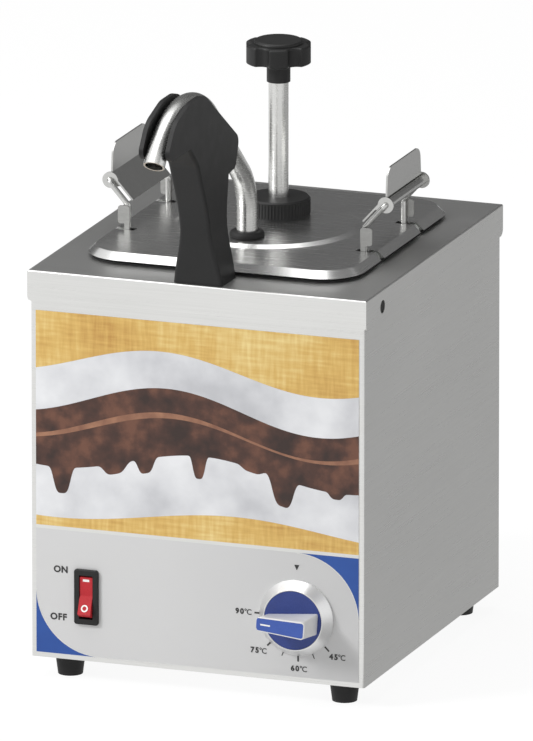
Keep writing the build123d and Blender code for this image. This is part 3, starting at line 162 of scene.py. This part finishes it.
def printed(name, stops, roughness, blotch_mm, across=None):
    """Ink on label film: tones that drift over blotches, or run across the print between two limits."""
    made, tree = blank(name)
    place = add(tree, "ShaderNodeTexCoord").outputs["Object"]
    blotch = add(tree, "ShaderNodeTexNoise",
                 inputs={"Vector": place, "Scale": 1 / (blotch_mm * MM), "Detail": 4.0}).outputs["Fac"]
    tone = blotch
    if across:
        axis, low, high = across
        side = add(tree, "ShaderNodeSeparateXYZ", inputs={0: place}).outputs[axis]
        slope = add(tree, "ShaderNodeMapRange", inputs={0: side, 1: low, 2: high, 3: 0.0, 4: 1.0}).outputs[0]
        tone = add(tree, "ShaderNodeMix", inputs={0: 0.85, 2: blotch, 3: slope}).outputs[0]
    colour = add(tree, "ShaderNodeValToRGB", {"stops": stops}, {"Fac": tone}).outputs["Color"]
    shader = add(tree, "ShaderNodeBsdfPrincipled", inputs={"Base Color": colour, "Roughness": roughness})
    add(tree, "ShaderNodeOutputMaterial", inputs={"Surface": shader.outputs[0]})
    return made


def woven_print(name):
    """The label's golden ground: a printed cloth weave, 2 mm to the thread so that it shows."""
    made, tree = blank(name)
    place = add(tree, "ShaderNodeTexCoord").outputs["Object"]
    thread = 1 / (2.0 * MM)
    run = thread / 9
    crossed = []
    for scale in ((run, run, thread), (thread, run, run)):
        threads = add(tree, "ShaderNodeMapping", inputs={"Vector": place, "Scale": scale})
        noise = add(tree, "ShaderNodeTexNoise",
                    inputs={"Vector": threads.outputs[0], "Scale": 1.0, "Detail": 2.0})
        crossed.append(noise.outputs["Fac"])
    weave = add(tree, "ShaderNodeMix", inputs={0: 0.5, 2: crossed[0], 3: crossed[1]}).outputs[0]
    cloud = add(tree, "ShaderNodeTexNoise",
                inputs={"Vector": place, "Scale": 16.0, "Detail": 2.0}).outputs["Fac"]
    tone = add(tree, "ShaderNodeMix", inputs={0: 0.5, 2: weave, 3: cloud}).outputs[0]
    stops = [(0.32, "#c08f45"), (0.5, "#dcb565"), (0.68, "#f0d894")]
    gold = add(tree, "ShaderNodeValToRGB", {"stops": stops}, {"Fac": tone}).outputs["Color"]
    shader = add(tree, "ShaderNodeBsdfPrincipled", inputs={"Base Color": gold, "Roughness": 0.38})
    add(tree, "ShaderNodeOutputMaterial", inputs={"Surface": shader.outputs[0]})
    return made


# Stainless sheet: a level brush on the walls, drawn coarser than the real 0.1 mm scratches so that it shows
sheet_steel = brushed_metal("brushed_stainless_sheet", "#d5d5d3", "#dfdfdd", 0.30, 0.7, 60.0,
                            relief=0.02, spread=0.035)
# Lid: the same sheet, rolled brighter, so that the latches show in it as soft reflections
lid_steel = brushed_metal("bright_rolled_stainless", "#d1d1d0", "#d5d5d4", 0.27, 0.4, 50.0,
                          relief=0.004, spread=0.005)
# Cover: satin on top, where it shows the lid's edge only as a haze, and brushed like the casing on its
# skirts. Its top is painted a darker grey than its skirts: painted shade.
cover_steel = brushed_metal("satin_cover_stainless", "#d5d5d3", "#dfdfdd", 0.30, 0.6, 60.0,
                            relief=0.02, spread=0.035, top=("#a8a8a7", "#b2b2b1", 0.14))
# Drawn tube and ground rod: satin, with faint turned marks round the bar
tube_steel = brushed_metal("drawn_stainless_tube", "#d0d0ce", "#d6d6d4", 0.27, 0.5, 14.0,
                           relief=0.005, spread=0.008)
# Bent wire and latch sheet: tumbled bright
latch_steel = brushed_metal("tumbled_bright_steel", "#bcbcba", "#cbcbc9", 0.24, 1.2, 1.6,
                            relief=0.01, spread=0.02)
# Pressed latch brackets: the sheet as it leaves the press, duller than the levers
bracket_steel = brushed_metal("pressed_bracket_steel", "#a0a09e", "#b6b6b4", 0.34, 0.9, 5.0)
# Zinc-plated steel fasteners: a cold, even grey with soft highlights
zinc = brushed_metal("bright_zinc_plate", "#a9acb0", "#c8ccd0", 0.33, 0.9, 0.9)
# Stamped brass: warm yellow switch blades with a short press grain
brass = brushed_metal("stamped_brass", "#b08a45", "#d2b06a", 0.3, 0.8, 3.0)
# Chromed dial ring: satin, so the studio shows in it as broad pale bands
plating = brushed_metal("satin_chrome_plating", "#e0e0e0", "#ececec", 0.34, 0.4, 0.4,
                        relief=0.01, spread=0.02)
# Grip bar: silver lacquer on moulded plastic, so that it stays pale instead of mirroring the blue disc
silver_lacquer = moulded("silver_lacquer", "#e0e0e0", "#e9e9e9", 0.3, 0.5, 0.002, coat=0.3)
# Glass-filled nylon: charcoal with a fine grain, so its highlights are broad and grey
black_nylon = moulded("black_moulded_nylon", "#161616", "#1d1d1d", 0.48, 0.5, 0.02, gloss=0.35)
# Rubber: duller and a little coarser than the nylon, with hardly a highlight
black_rubber = moulded("black_rubber", "#121212", "#1b1b1b", 0.6, 0.8, 0.03, gloss=0.35)
# Blackened steel screw, its near-black also painted shade, so that it reads as a dark hole in the skirt
black_oxide_hole_shade = moulded("black_oxide_screw", "#070707", "#101010", 0.6, 0.6, 0.01)
# Switch rocker: red ABS, satin from the mould
red_abs = moulded("red_satin_abs", "#b3222b", "#c22d35", 0.42, 1.0, 0.002, gloss=0.3)
# Dial disc: deep blue ABS, satin, so that it stays even under the grip
blue_disc = moulded("blue_satin_abs", "#24377a", "#2b4086", 0.42, 0.7, 0.006)
# Grip insert: a brighter blue strip with more gloss
blue_strip = moulded("blue_gloss_strip", "#3353a6", "#3c5cb0", 0.34, 0.9, 0.003)
# Acetal pump parts: milky white and faintly waxy
white_nylon = moulded("natural_acetal", "#dedcd3", "#ecebe4", 0.45, 0.9, 0.006)
# Silicone seals: pale grey and matt
silicone = moulded("translucent_silicone", "#b9bbb8", "#cfd1ce", 0.5, 0.9, 0.006)
# Heat-proof wire sleeves: brown, matt
wire_skin = moulded("wire_insulation", "#7c3a20", "#94482a", 0.45, 1.0, 0.004)
# Label film: the pale border that is left round the print
film = printed("label_film", [(0.2, "#cfcfce"), (0.8, "#dddddc")], 0.35, 30.0)
# Control panel: silver-grey ink that darkens towards the right
panel_print = printed("grey_panel_print", [(0.0, "#d4d4d4"), (0.55, "#cdcdcd"), (1.0, "#c8c8c8")], 0.36, 40.0,
                      across=("X", -0.02, 0.1))
# Rule between picture and panel, and corner edges: bare film, a shade paler than the panel's ink
rule_print = printed("bare_film_rule", [(0.2, "#dadad7"), (0.8, "#e0e0dd")], 0.36, 25.0)
# White ink: the pointer line and the rocker's marks
white_print = printed("white_print", [(0.2, "#f1f1ee"), (0.8, "#f9f9f6")], 0.36, 25.0)
# Ribbons of the label: cream-grey, cocoa and caramel inks that drift like poured sauce
pale_print = printed("pale_ribbon_print", [(0.3, "#c3c4c8"), (0.5, "#dbdcdf"), (0.7, "#ecedef")], 0.36, 34.0)
cocoa_print = printed("cocoa_ribbon_print", [(0.32, "#2e1a13"), (0.5, "#4a2c21"), (0.68, "#6d4533")],
                      0.3, 11.0)
caramel_print = printed("caramel_streak_print", [(0.3, "#7d5340"), (0.7, "#a9795c")], 0.3, 9.0)
# Corner patches: flat process blue with a slight drift
blue_print = printed("blue_corner_print", [(0.3, "#1a4896"), (0.7, "#2050a0")], 0.36, 18.0)
# Lettering and scale: near-black ink
dark_print = printed("dark_lettering", [(0.3, "#222222"), (0.7, "#2e2e2e")], 0.4, 6.0)

finishes = {
    "casing_wrap rear_panel base_plate heating_well bulb_clip heater_clamp sauce_pan": sheet_steel,
    "lid": lid_steel,
    "top_cover": cover_steel,
    "discharge_tube plunger_rod": tube_steel,
    "right_latch_bracket left_latch_bracket": bracket_steel,
    "right_latch_bail left_latch_bail right_latch_lever left_latch_lever": latch_steel,
    "valve_balls return_spring heater_element sensor_bulb clamp_studs": latch_steel,
    "cover_nuts foot_screws foot_nuts rear_panel_screws thermostat_screws clamp_nuts block_screws": zinc,
    "holder_screws piston_nut thermostat_shaft": zinc,
    "cover_screws": black_oxide_hole_shade,
    "front_label": film,
    "switch_housing spout_holder lock_collar pump_knob cable_gland gland_lock_nut": black_nylon,
    "thermostat_body thermal_cutout": black_nylon,
    "switch_rocker": red_abs,
    "switch_terminals": brass,
    "knob_bezel": plating,
    "knob_grip": silver_lacquer,
    "knob_disc": blue_disc,
    "grip_insert": blue_strip,
    "terminal_block pump_cylinder pump_foot piston": white_nylon,
    "feet tube_grommet": black_rubber,
    "lid_gasket piston_seal": silicone,
    "wiring": wire_skin,
}
for names, finish in finishes.items():
    for name in names.split():
        mesh = nodes[name].data
        mesh.materials.clear()
        mesh.materials.append(finish)


def keep(name, mesh, finish, body):
    """A finished piece at the origin, riding on its body."""
    piece = bpy.data.objects.new(name, mesh)
    bpy.context.scene.collection.objects.link(piece)
    mesh.materials.clear()
    mesh.materials.append(finish)
    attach(piece, body)
    return piece


cover_low, cover_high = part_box("top_cover")
label_low, label_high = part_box("front_label")
label_front = label_low.y
ring_low, ring_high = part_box("knob_bezel")
dial = Vector(((ring_low.x + ring_high.x) / 2, label_front, (ring_low.z + ring_high.z) / 2))
bezel_low, bezel_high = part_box("switch_housing")
switch = Vector(((bezel_low.x + bezel_high.x) / 2, label_front, (bezel_low.z + bezel_high.z) / 2))
# Inks lie on the label in layers, counted outwards from the film
layer = 0.05 * MM
GROUND_INK, UNDER_INK, OVER_INK, TOP_INK = 1, 2, 3, 4


def patch(name, columns, level, finish):
    """A printed patch on the label from (x, low z, high z) columns, one ink layer per level."""
    y = label_front - level * layer
    points = [(x, y, z) for x, low, high in columns for z in (low, high)]
    faces = [(2 * i, 2 * i + 2, 2 * i + 3, 2 * i + 1) for i in range(len(columns) - 1)]
    mesh = bpy.data.meshes.new(name)
    mesh.from_pydata(points, [], faces)
    return keep(name, mesh, finish, "casing")


panel_top = 86.9 * MM
line_top = 88.9 * MM
left, right = label_low.x, label_high.x
low, high = label_low.z, label_high.z
patch("picture_ground", [(left, line_top, high), (right, line_top, high)], GROUND_INK,
      woven_print("woven_gold_print"))
patch("white_rule", [(left, panel_top, line_top), (right, panel_top, line_top)], GROUND_INK, rule_print)


def across(count):
    """Places from the label's left edge to its right one, in equal steps."""
    return [left + (right - left) * i / count for i in range(count + 1)]


def wave(x, middle, swing, length, start):
    """A slow wave along the label, all sizes in mm."""
    return (middle + swing * math.sin(2 * math.pi * x / (length * MM) + start)) * MM


def drips(x):
    """Length of the drips under the cocoa ribbon at x."""
    total = 0.0
    for i in range(7):
        middle = (-80 + 27 * i + 5 * math.sin(2.1 * i)) * MM
        width = (5.5 + 1.6 * math.sin(1.7 * i)) * MM
        total = max(total, (9 + 7 * math.sin(2.6 * i + 1)) * MM * math.exp(-((x - middle) / width) ** 4))
    return total


patch("pale_ribbon",
      [(x, wave(x, 99, 5, 210, 0.9), wave(x, 186, 9, 190, 2.3)) for x in across(120)],
      UNDER_INK, pale_print)
patch("cocoa_ribbon",
      [(x, wave(x, 130, 7, 170, 1.5) - drips(x), wave(x, 164, 10, 180, 2.2)) for x in across(320)],
      OVER_INK, cocoa_print)
patch("caramel_streak",
      [(x, wave(x, 148, 9, 180, 2.1), wave(x, 150.5, 9.6, 178, 2.2)) for x in across(160)],
      TOP_INK, caramel_print)


def pierced(name, level, finish):
    """The grey control panel, open where the switch and the dial stand."""
    y = label_front - level * layer
    rim = [(left, low), (right, low), (right, panel_top), (left, panel_top)]
    lap = 0.6 * MM
    half_w = (bezel_high.x - bezel_low.x) / 2 - lap
    half_h = (bezel_high.z - bezel_low.z) / 2 - lap
    slot = [(switch.x - half_w, switch.z - half_h), (switch.x + half_w, switch.z - half_h),
            (switch.x + half_w, switch.z + half_h), (switch.x - half_w, switch.z + half_h)]
    ring_lap = 0.8 * MM
    radius = (ring_high.x - ring_low.x) / 2 - ring_lap
    angles = [a * math.pi / 24 for a in range(48)]
    hole = [(dial.x + radius * math.cos(a), dial.z + radius * math.sin(a)) for a in angles]
    shape = bmesh.new()
    edges = []
    for loop in (rim, slot, hole):
        corners = [shape.verts.new((x, y, z)) for x, z in loop]
        edges += [shape.edges.new((corners[i], corners[i - 1])) for i in range(len(corners))]
    bmesh.ops.triangle_fill(shape, use_beauty=True, edges=edges, normal=(0, -1, 0))
    for face in shape.faces:
        if face.normal.y > 0:
            face.normal_flip()
    mesh = bpy.data.meshes.new(name)
    shape.to_mesh(mesh)
    shape.free()
    return keep(name, mesh, finish, "casing")


pierced("control_panel_print", GROUND_INK, panel_print)
corner = 36.5 * MM
corner_rim = 0.45 * MM


def corner_columns(side, grow):
    """A corner patch outside a quarter circle: side 1 is top right, -1 bottom left."""
    edge_x = right if side > 0 else left
    edge_z = panel_top if side > 0 else low
    centre_x = edge_x - side * corner
    centre_z = edge_z - side * corner
    reach = corner - grow
    columns = []
    for i in range(41):
        a = math.pi / 2 * i / 40
        x = centre_x + side * reach * math.sin(a)
        z = centre_z + side * reach * math.cos(a)
        columns.append((x, min(z, edge_z), max(z, edge_z)))
    columns.append((edge_x, min(centre_z, edge_z), max(centre_z, edge_z)))
    return sorted(columns)


patch("top_corner_edge", corner_columns(1, corner_rim), UNDER_INK, rule_print)
patch("top_corner", corner_columns(1, 0.0), OVER_INK, blue_print)
patch("low_corner_edge", corner_columns(-1, corner_rim), UNDER_INK, rule_print)
patch("low_corner", corner_columns(-1, 0.0), OVER_INK, blue_print)
words_y = label_front - TOP_INK * layer


def lettering(text, tall, middle_x, middle_z, bold, spacing):
    """Words as a mesh on the label, scaled to a capital height in mm."""
    curve = bpy.data.curves.new("words", "FONT")
    curve.body = text
    curve.offset = bold
    curve.space_character = spacing
    curve.resolution_u = 4
    holder = bpy.data.objects.new("words", curve)
    bpy.context.scene.collection.objects.link(holder)
    bpy.context.view_layer.update()
    mesh = bpy.data.meshes.new_from_object(holder.evaluated_get(bpy.context.evaluated_depsgraph_get()))
    bpy.data.objects.remove(holder)
    bpy.data.curves.remove(curve)
    xs = [v.co.x for v in mesh.vertices]
    ys = [v.co.y for v in mesh.vertices]
    grow = tall * MM / (max(ys) - min(ys))
    shift = Matrix.Translation((-(max(xs) + min(xs)) / 2, -(max(ys) + min(ys)) / 2, 0))
    stand = Matrix(((1, 0, 0, middle_x * MM), (0, 0, -1, words_y), (0, 1, 0, middle_z * MM), (0, 0, 0, 1)))
    mesh.transform(stand @ Matrix.Scale(grow, 4) @ shift)
    return mesh


def joined(name, meshes, finish, body):
    """Several meshes as one piece."""
    shape = bmesh.new()
    for mesh in meshes:
        shape.from_mesh(mesh)
        bpy.data.meshes.remove(mesh)
    whole = bpy.data.meshes.new(name)
    shape.to_mesh(whole)
    shape.free()
    return keep(name, whole, finish, body)


switch_tall, switch_bold = 4.0, 0.034
joined("switch_words", [lettering("ON", switch_tall, -80.9, 64.2, switch_bold, 1.06),
                        lettering("OFF", switch_tall, -82.2, 36.7, switch_bold, 1.12)],
       dark_print, "casing")
scale_tall = 3.4
digits_step, degrees_step = 0.25, 5.2
scale_words = []
for text, x, z in (("90", 24.9, 50.2), ("75", 33.8, 28.6), ("60", 57.6, 20.3), ("45", 80.3, 29.0)):
    scale_words.append(lettering(text, scale_tall, x + digits_step, z, 0.045, 1.32))
    scale_words.append(lettering("°C", scale_tall, x + degrees_step, z, 0.012, 0.85))
joined("scale_words", scale_words, dark_print, "casing")


def flat_mesh(name, outline, y):
    """One flat face on the label from an (x, z) outline, anticlockwise seen from the front."""
    mesh = bpy.data.meshes.new(name)
    mesh.from_pydata([(x, y, z) for x, z in outline], [], [tuple(range(len(outline)))])
    return mesh


# The printed scale sits a little off the dial's axis
scale_middle = Vector((dial.x + 0.8 * MM, dial.z + 0.5 * MM))


def tick(angle, inner, outer, width):
    """A scale tick, its angle clockwise from the top of the dial."""
    a = math.radians(angle)
    out = Vector((math.sin(a), math.cos(a)))
    side = Vector((out.y, -out.x)) * width / 2
    near, far = scale_middle + out * inner, scale_middle + out * outer
    corners = [near + side, far + side, far - side, near - side]
    return flat_mesh("tick", [tuple(c) for c in corners], words_y)


# Seven ticks from the left of the dial round its foot, every other one longer and bolder
tick_start, tick_step, tick_inner = 270, 22.5, 22.3 * MM
long_tick, short_tick = (25.8 * MM, 0.95 * MM), (25.2 * MM, 0.5 * MM)
ticks = []
for i in range(7):
    tick_outer, tick_width = short_tick if i % 2 else long_tick
    ticks.append(tick(tick_start - tick_step * i, tick_inner, tick_outer, tick_width))
mark_z = 78.4 * MM
arrow_half = 1.5 * MM
ticks.append(flat_mesh("arrow", [(dial.x, mark_z - 1.6 * MM), (dial.x + arrow_half, mark_z + arrow_half),
                                 (dial.x - arrow_half, mark_z + arrow_half)], words_y))
joined("scale_ticks", ticks, dark_print, "casing")

# Pointer line along the grip, which rests turned a little up from level
insert_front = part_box("grip_insert")[0].y
grip_turn = math.radians(4.0)
pointer_way = Vector((-math.cos(grip_turn), math.sin(grip_turn)))
pointer_side = Vector((-pointer_way.y, pointer_way.x)) * 0.45 * MM
knob_axis = Vector((dial.x, dial.z))
line_in, line_out = knob_axis + pointer_way * 7.3 * MM, knob_axis + pointer_way * 13.1 * MM
pointer_corners = [line_out + pointer_side, line_in + pointer_side,
                   line_in - pointer_side, line_out - pointer_side]
pointer = flat_mesh("pointer_line", [tuple(c) for c in pointer_corners], insert_front - layer)
keep("pointer_line", pointer, white_print, "thermostat_knob")

# Rocker marks lie on its two faces, which slope away from a ridge on the switch's middle line
tilt = math.radians(11.0)
pivot = Vector((switch.x, label_front + 3.0 * MM, switch.z))
ridge = 4.4 * MM + layer


def on_rocker(x, up):
    """A point on the rocker's face at rest, from the side step and the height over the middle line."""
    out = ridge + abs(up) * math.tan(tilt)
    high = up * math.cos(tilt) + out * math.sin(tilt)
    fore = -up * math.sin(tilt) + out * math.cos(tilt)
    return pivot + Vector((x, -fore, high))


bar = bpy.data.meshes.new("rocker_bar")
bar_corners = ((-1.9, 8.0), (1.9, 8.0), (1.9, 9.3), (-1.9, 9.3))
bar.from_pydata([on_rocker(x * MM, z * MM) for x, z in bar_corners], [], [(0, 1, 2, 3)])
ring_steps, ring_up, ring_radii = 32, -7.0, (1.2, 2.05)
ring_points, ring_faces = [], []
for i in range(ring_steps):
    a = 2 * math.pi * i / ring_steps
    ring_points += [on_rocker(r * MM * math.cos(a), (ring_up + r * math.sin(a)) * MM) for r in ring_radii]
    after = 2 * ((i + 1) % ring_steps)
    ring_faces.append((2 * i, 2 * i + 1, after + 1, after))
ring = bpy.data.meshes.new("rocker_ring")
ring.from_pydata(ring_points, [], ring_faces)
joined("rocker_marks", [bar, ring], white_print, "rocker")


def sized_tree(name, sizes):
    """A Geometry Nodes tree with named inputs for its sizes and its finish."""
    tree = bpy.data.node_groups.new(name, "GeometryNodeTree")
    ports = {}
    for label, value in sizes:
        kind = "NodeSocketInt" if isinstance(value, int) else "NodeSocketFloat"
        port = tree.interface.new_socket(label, in_out="INPUT", socket_type=kind)
        port.default_value = value
        ports[label] = port.identifier
    port = tree.interface.new_socket("Finish", in_out="INPUT", socket_type="NodeSocketMaterial")
    ports["Finish"] = port.identifier
    tree.interface.new_socket("Geometry", in_out="OUTPUT", socket_type="NodeSocketGeometry")
    return tree, ports, add(tree, "NodeGroupInput").outputs


def close_tree(tree, shape, finish):
    """Ends a tree in real geometry that carries its finish."""
    real = add(tree, "GeometryNodeRealizeInstances", inputs={0: shape})
    coated = add(tree, "GeometryNodeSetMaterial", inputs={"Geometry": real.outputs[0], "Material": finish})
    add(tree, "NodeGroupOutput", inputs={"Geometry": coated.outputs[0]})


def grown(tree, ports, values, move):
    """The plain mesh that a tree grows from these values, moved to its place."""
    carrier = bpy.data.objects.new("carrier", bpy.data.meshes.new("carrier"))
    bpy.context.scene.collection.objects.link(carrier)
    growth = carrier.modifiers.new("growth", "NODES")
    growth.node_group = tree
    for label, value in values.items():
        growth[ports[label]] = value
    bpy.context.view_layer.update()
    mesh = bpy.data.meshes.new_from_object(carrier.evaluated_get(bpy.context.evaluated_depsgraph_get()))
    bpy.data.objects.remove(carrier)
    mesh.transform(Matrix.Translation(move))
    return mesh


def rib_tree():
    """Upright ribs spread round a collar."""
    sizes = (("Radius", 0.01), ("Height", 0.01), ("Rib Radius", 0.001), ("Ribs", 12))
    tree, ports, entry = sized_tree("collar_ribs", sizes)
    circle = add(tree, "GeometryNodeMeshCircle",
                 inputs={"Vertices": entry["Ribs"], "Radius": entry["Radius"]})
    rib = add(tree, "GeometryNodeMeshCylinder",
              inputs={"Vertices": 8, "Radius": entry["Rib Radius"], "Depth": entry["Height"]})
    spread = add(tree, "GeometryNodeInstanceOnPoints",
                 inputs={"Points": circle.outputs[0], "Instance": rib.outputs[0]})
    close_tree(tree, spread.outputs[0], entry["Finish"])
    return tree, ports


def coil_tree():
    """A coil of round wire that climbs from the origin."""
    sizes = (("Radius", 0.01), ("Height", 0.05), ("Wire Radius", 0.001), ("Turns", 8.0))
    tree, ports, entry = sized_tree("wire_coil", sizes)
    helix = add(tree, "GeometryNodeCurveSpiral",
                inputs={"Resolution": 24, "Rotations": entry["Turns"], "Start Radius": entry["Radius"],
                        "End Radius": entry["Radius"], "Height": entry["Height"]})
    section = add(tree, "GeometryNodeCurvePrimitiveCircle",
                  inputs={"Resolution": 12, "Radius": entry["Wire Radius"]})
    wire = add(tree, "GeometryNodeCurveToMesh",
               inputs={"Curve": helix.outputs[0], "Profile Curve": section.outputs[0], "Fill Caps": True})
    close_tree(tree, wire.outputs[0], entry["Finish"])
    return tree, ports


# Ribs of the lock collar: sunk into its side, and short of its two rounded edges
collar_low, collar_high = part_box("lock_collar")
collar_middle = (collar_low + collar_high) / 2
rib_sunk, rib_short = 0.15 * MM, 2.4 * MM
ribs = grown(*rib_tree(), {"Radius": (collar_high.x - collar_low.x) / 2 - rib_sunk,
                           "Height": collar_high.z - collar_low.z - rib_short,
                           "Rib Radius": 0.5 * MM, "Ribs": 60, "Finish": black_nylon},
             (0, collar_middle.y, collar_middle.z))
keep("collar_ribs", ribs, black_nylon, "lid_assembly")

# Return spring: a wound coil stands for the rigid one; the real spring shortens as the plunger goes down,
# while this coil keeps one length
spring_low, spring_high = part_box("return_spring")
spring_foot = Vector(((spring_low.x + spring_high.x) / 2, (spring_low.y + spring_high.y) / 2, spring_low.z))
spring_tall = spring_high.z - spring_low.z
spring_wire = 0.8 * MM
coil_mesh = grown(*coil_tree(), {"Radius": (spring_high.x - spring_low.x) / 2 - spring_wire,
                                 "Height": spring_tall - 2 * spring_wire,
                                 "Wire Radius": spring_wire, "Turns": 8.0, "Finish": latch_steel},
                  spring_foot + Vector((0, 0, spring_wire)))
coil = keep("return_coil", coil_mesh, latch_steel, "lid_assembly")
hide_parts("return_spring")
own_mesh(coil)


def rounded_loop(middle, half_x, half_y, radius, z):
    """Points round a rounded rectangle at one height, twelve steps to a corner."""
    steps = 12
    points = []
    for quarter, (x_side, y_side) in enumerate(((1, 1), (-1, 1), (-1, -1), (1, -1))):
        for i in range(steps + 1):
            a = math.pi / 2 * (quarter + i / steps)
            points.append((middle.x + x_side * (half_x - radius) + radius * math.cos(a),
                           middle.y + y_side * (half_y - radius) + radius * math.sin(a), z))
    return points


# Black rubber strip round the pan's flange, under the lid's edge: painted shade, a dark piece that stands for
# the dark line between the lid and the cover
pan_low, pan_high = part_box("sauce_pan")
pan_middle = (pan_low + pan_high) / 2
flange_corner = 21.5 * MM
half_x, half_y = (pan_high.x - pan_low.x) / 2, (pan_high.y - pan_low.y) / 2
shade_strip_foot, shade_strip_top = cover_high.z + 0.05 * MM, pan_high.z + 0.3 * MM
shade_strip_outline = ((-0.1, shade_strip_foot), (0.7, shade_strip_foot), (0.7, pan_high.z - 0.05 * MM),
                  (0.4, shade_strip_top), (-0.1, shade_strip_top))
shade_strip = bmesh.new()
loops = []
for out_mm, z in shade_strip_outline:
    out = out_mm * MM
    points = rounded_loop(pan_middle, half_x + out, half_y + out, flange_corner + out, z)
    loops.append([shade_strip.verts.new(p) for p in points])
for near, far in zip(loops, loops[1:] + loops[:1]):
    for i in range(len(near)):
        shade_strip.faces.new((near[i - 1], near[i], far[i], far[i - 1]))
bmesh.ops.recalc_face_normals(shade_strip, faces=shade_strip.faces)
shade_strip_mesh = bpy.data.meshes.new("pan_edging")
shade_strip.to_mesh(shade_strip_mesh)
shade_strip.free()
keep("pan_edging", shade_strip_mesh, black_rubber, "pan")


def seen_rays(tree):
    """One for rays from the camera, gloss or glass, and zero for those that gather light."""
    path = add(tree, "ShaderNodeLightPath").outputs
    seen = path["Is Camera Ray"]
    for ray in ("Is Glossy Ray", "Is Transmission Ray"):
        seen = add(tree, "ShaderNodeMath", {"operation": "MAXIMUM"}, {0: seen, 1: path[ray]}).outputs[0]
    return seen


# Studio: pale floor, soft lamps, and grey cards that only gloss sees
floor_mesh = bpy.data.meshes.new("floor")
floor_half = 20
floor_corners = [(x * floor_half, y * floor_half, 0) for x, y in ((-1, -1), (1, -1), (1, 1), (-1, 1))]
floor_mesh.from_pydata(floor_corners, [], [(0, 1, 2, 3)])
floor = bpy.data.objects.new("floor", floor_mesh)
bpy.context.scene.collection.objects.link(floor)
# Floor: matt white paper that keeps a faint shadow, and looks white where it is seen
floor_paint, tree = blank("pale_floor")
share = add(tree, "ShaderNodeMath", {"operation": "MULTIPLY"}, {0: seen_rays(tree), 1: 0.85})
matt = add(tree, "ShaderNodeBsdfDiffuse", inputs={"Color": ink("#f4f4f4")})
glow = add(tree, "ShaderNodeEmission", inputs={"Color": (1, 1, 1, 1), "Strength": 1.06})
both = add(tree, "ShaderNodeMixShader", inputs={0: share.outputs[0], 1: matt.outputs[0], 2: glow.outputs[0]})
add(tree, "ShaderNodeOutputMaterial", inputs={"Surface": both.outputs[0]})
floor_mesh.materials.append(floor_paint)


def card(name, corners, code):
    """A studio card seen by gloss alone."""
    mesh = bpy.data.meshes.new(name)
    mesh.from_pydata(corners, [], [(0, 1, 2, 3)])
    made = bpy.data.objects.new(name, mesh)
    bpy.context.scene.collection.objects.link(made)
    paint, paint_tree = blank(name)
    light = add(paint_tree, "ShaderNodeEmission", inputs={"Color": ink(code), "Strength": 1.0})
    add(paint_tree, "ShaderNodeOutputMaterial", inputs={"Surface": light.outputs[0]})
    mesh.materials.append(paint)
    made.visible_camera = False
    made.visible_diffuse = False
    made.visible_shadow = False
    made.visible_transmission = False


card("back_card",
     [(-7.0, 1.9, 0.12), (0.15, 1.9, 0.12), (0.15, 1.5, 2.0), (-7.0, 1.5, 2.0)], "#666666")
card("right_back_card",
     [(0.15, 1.9, 0.12), (2.4, 1.9, 0.12), (2.4, 1.5, 2.0), (0.15, 1.5, 2.0)], "#7a7a7a")
card("right_ceiling_card",
     [(0.4, -0.7, 2.2), (3.0, -0.7, 2.2), (3.0, 1.5, 2.2), (0.4, 1.5, 2.2)], "#8c8c8c")
card("floor_card",
     [(0.1, -0.12, 0.001), (2.2, -0.12, 0.001), (2.2, 2.6, 0.001), (0.1, 2.6, 0.001)], "#b6b6b6")

# World: white where it is seen, and dimmer as light, so that colours render about as they are written
world = bpy.data.worlds.new("studio")
bpy.context.scene.world = world
world.use_nodes = True
tree = world.node_tree
tree.nodes.clear()
soft = add(tree, "ShaderNodeBackground", inputs={"Color": (1, 1, 1, 1), "Strength": 0.36})
white = add(tree, "ShaderNodeBackground", inputs={"Color": (1, 1, 1, 1), "Strength": 1.0})
both = add(tree, "ShaderNodeMixShader", inputs={0: seen_rays(tree), 1: soft.outputs[0], 2: white.outputs[0]})
add(tree, "ShaderNodeOutputWorld", inputs={"Surface": both.outputs[0]})


def lamp(name, place, aim, size, power):
    """A soft rectangular lamp turned to a point."""
    light = bpy.data.lights.new(name, "AREA")
    light.shape = "RECTANGLE"
    light.size, light.size_y = size
    light.energy = power
    made = bpy.data.objects.new(name, light)
    bpy.context.scene.collection.objects.link(made)
    made.location = place
    made.rotation_euler = (Vector(aim) - Vector(place)).to_track_quat("-Z", "Y").to_euler()


lamp("front_left_softbox", (-1.6, -1.5, 1.6), (0, 0, 0.15), (0.6, 0.6), 37.5)
lamp("overhead_softbox", (-0.45, -0.2, 2.2), (-0.45, -0.2, 0.1), (1.6, 2.2), 20)

# Camera at the photograph's angle, with a long lens because the photograph's edges run parallel
frame_tall = 741
pixels_per_metre = 1.8005 / MM
distance = 13.0
turn, lift = math.radians(20.006), math.radians(15.062)
back = Vector((math.sin(turn) * math.cos(lift), -math.cos(turn) * math.cos(lift), math.sin(lift)))
side = Vector((math.cos(turn), math.sin(turn), 0))
up = Vector((-math.sin(turn) * math.sin(lift), math.cos(turn) * math.sin(lift), math.cos(lift)))
aim = Vector((26.85 * MM, cover_low.y + 40.0 * MM, cover_high.z - 56.24 * MM))
eye = bpy.data.cameras.new("camera")
eye.sensor_width = 36.0
eye.lens = eye.sensor_width * distance * pixels_per_metre / frame_tall
camera = bpy.data.objects.new("camera", eye)
bpy.context.scene.collection.objects.link(camera)
camera.location = aim + back * distance
camera.rotation_euler = Matrix((side, up, back)).transposed().to_euler()
bpy.context.scene.camera = camera
bpy.context.scene.view_settings.view_transform = "Standard"
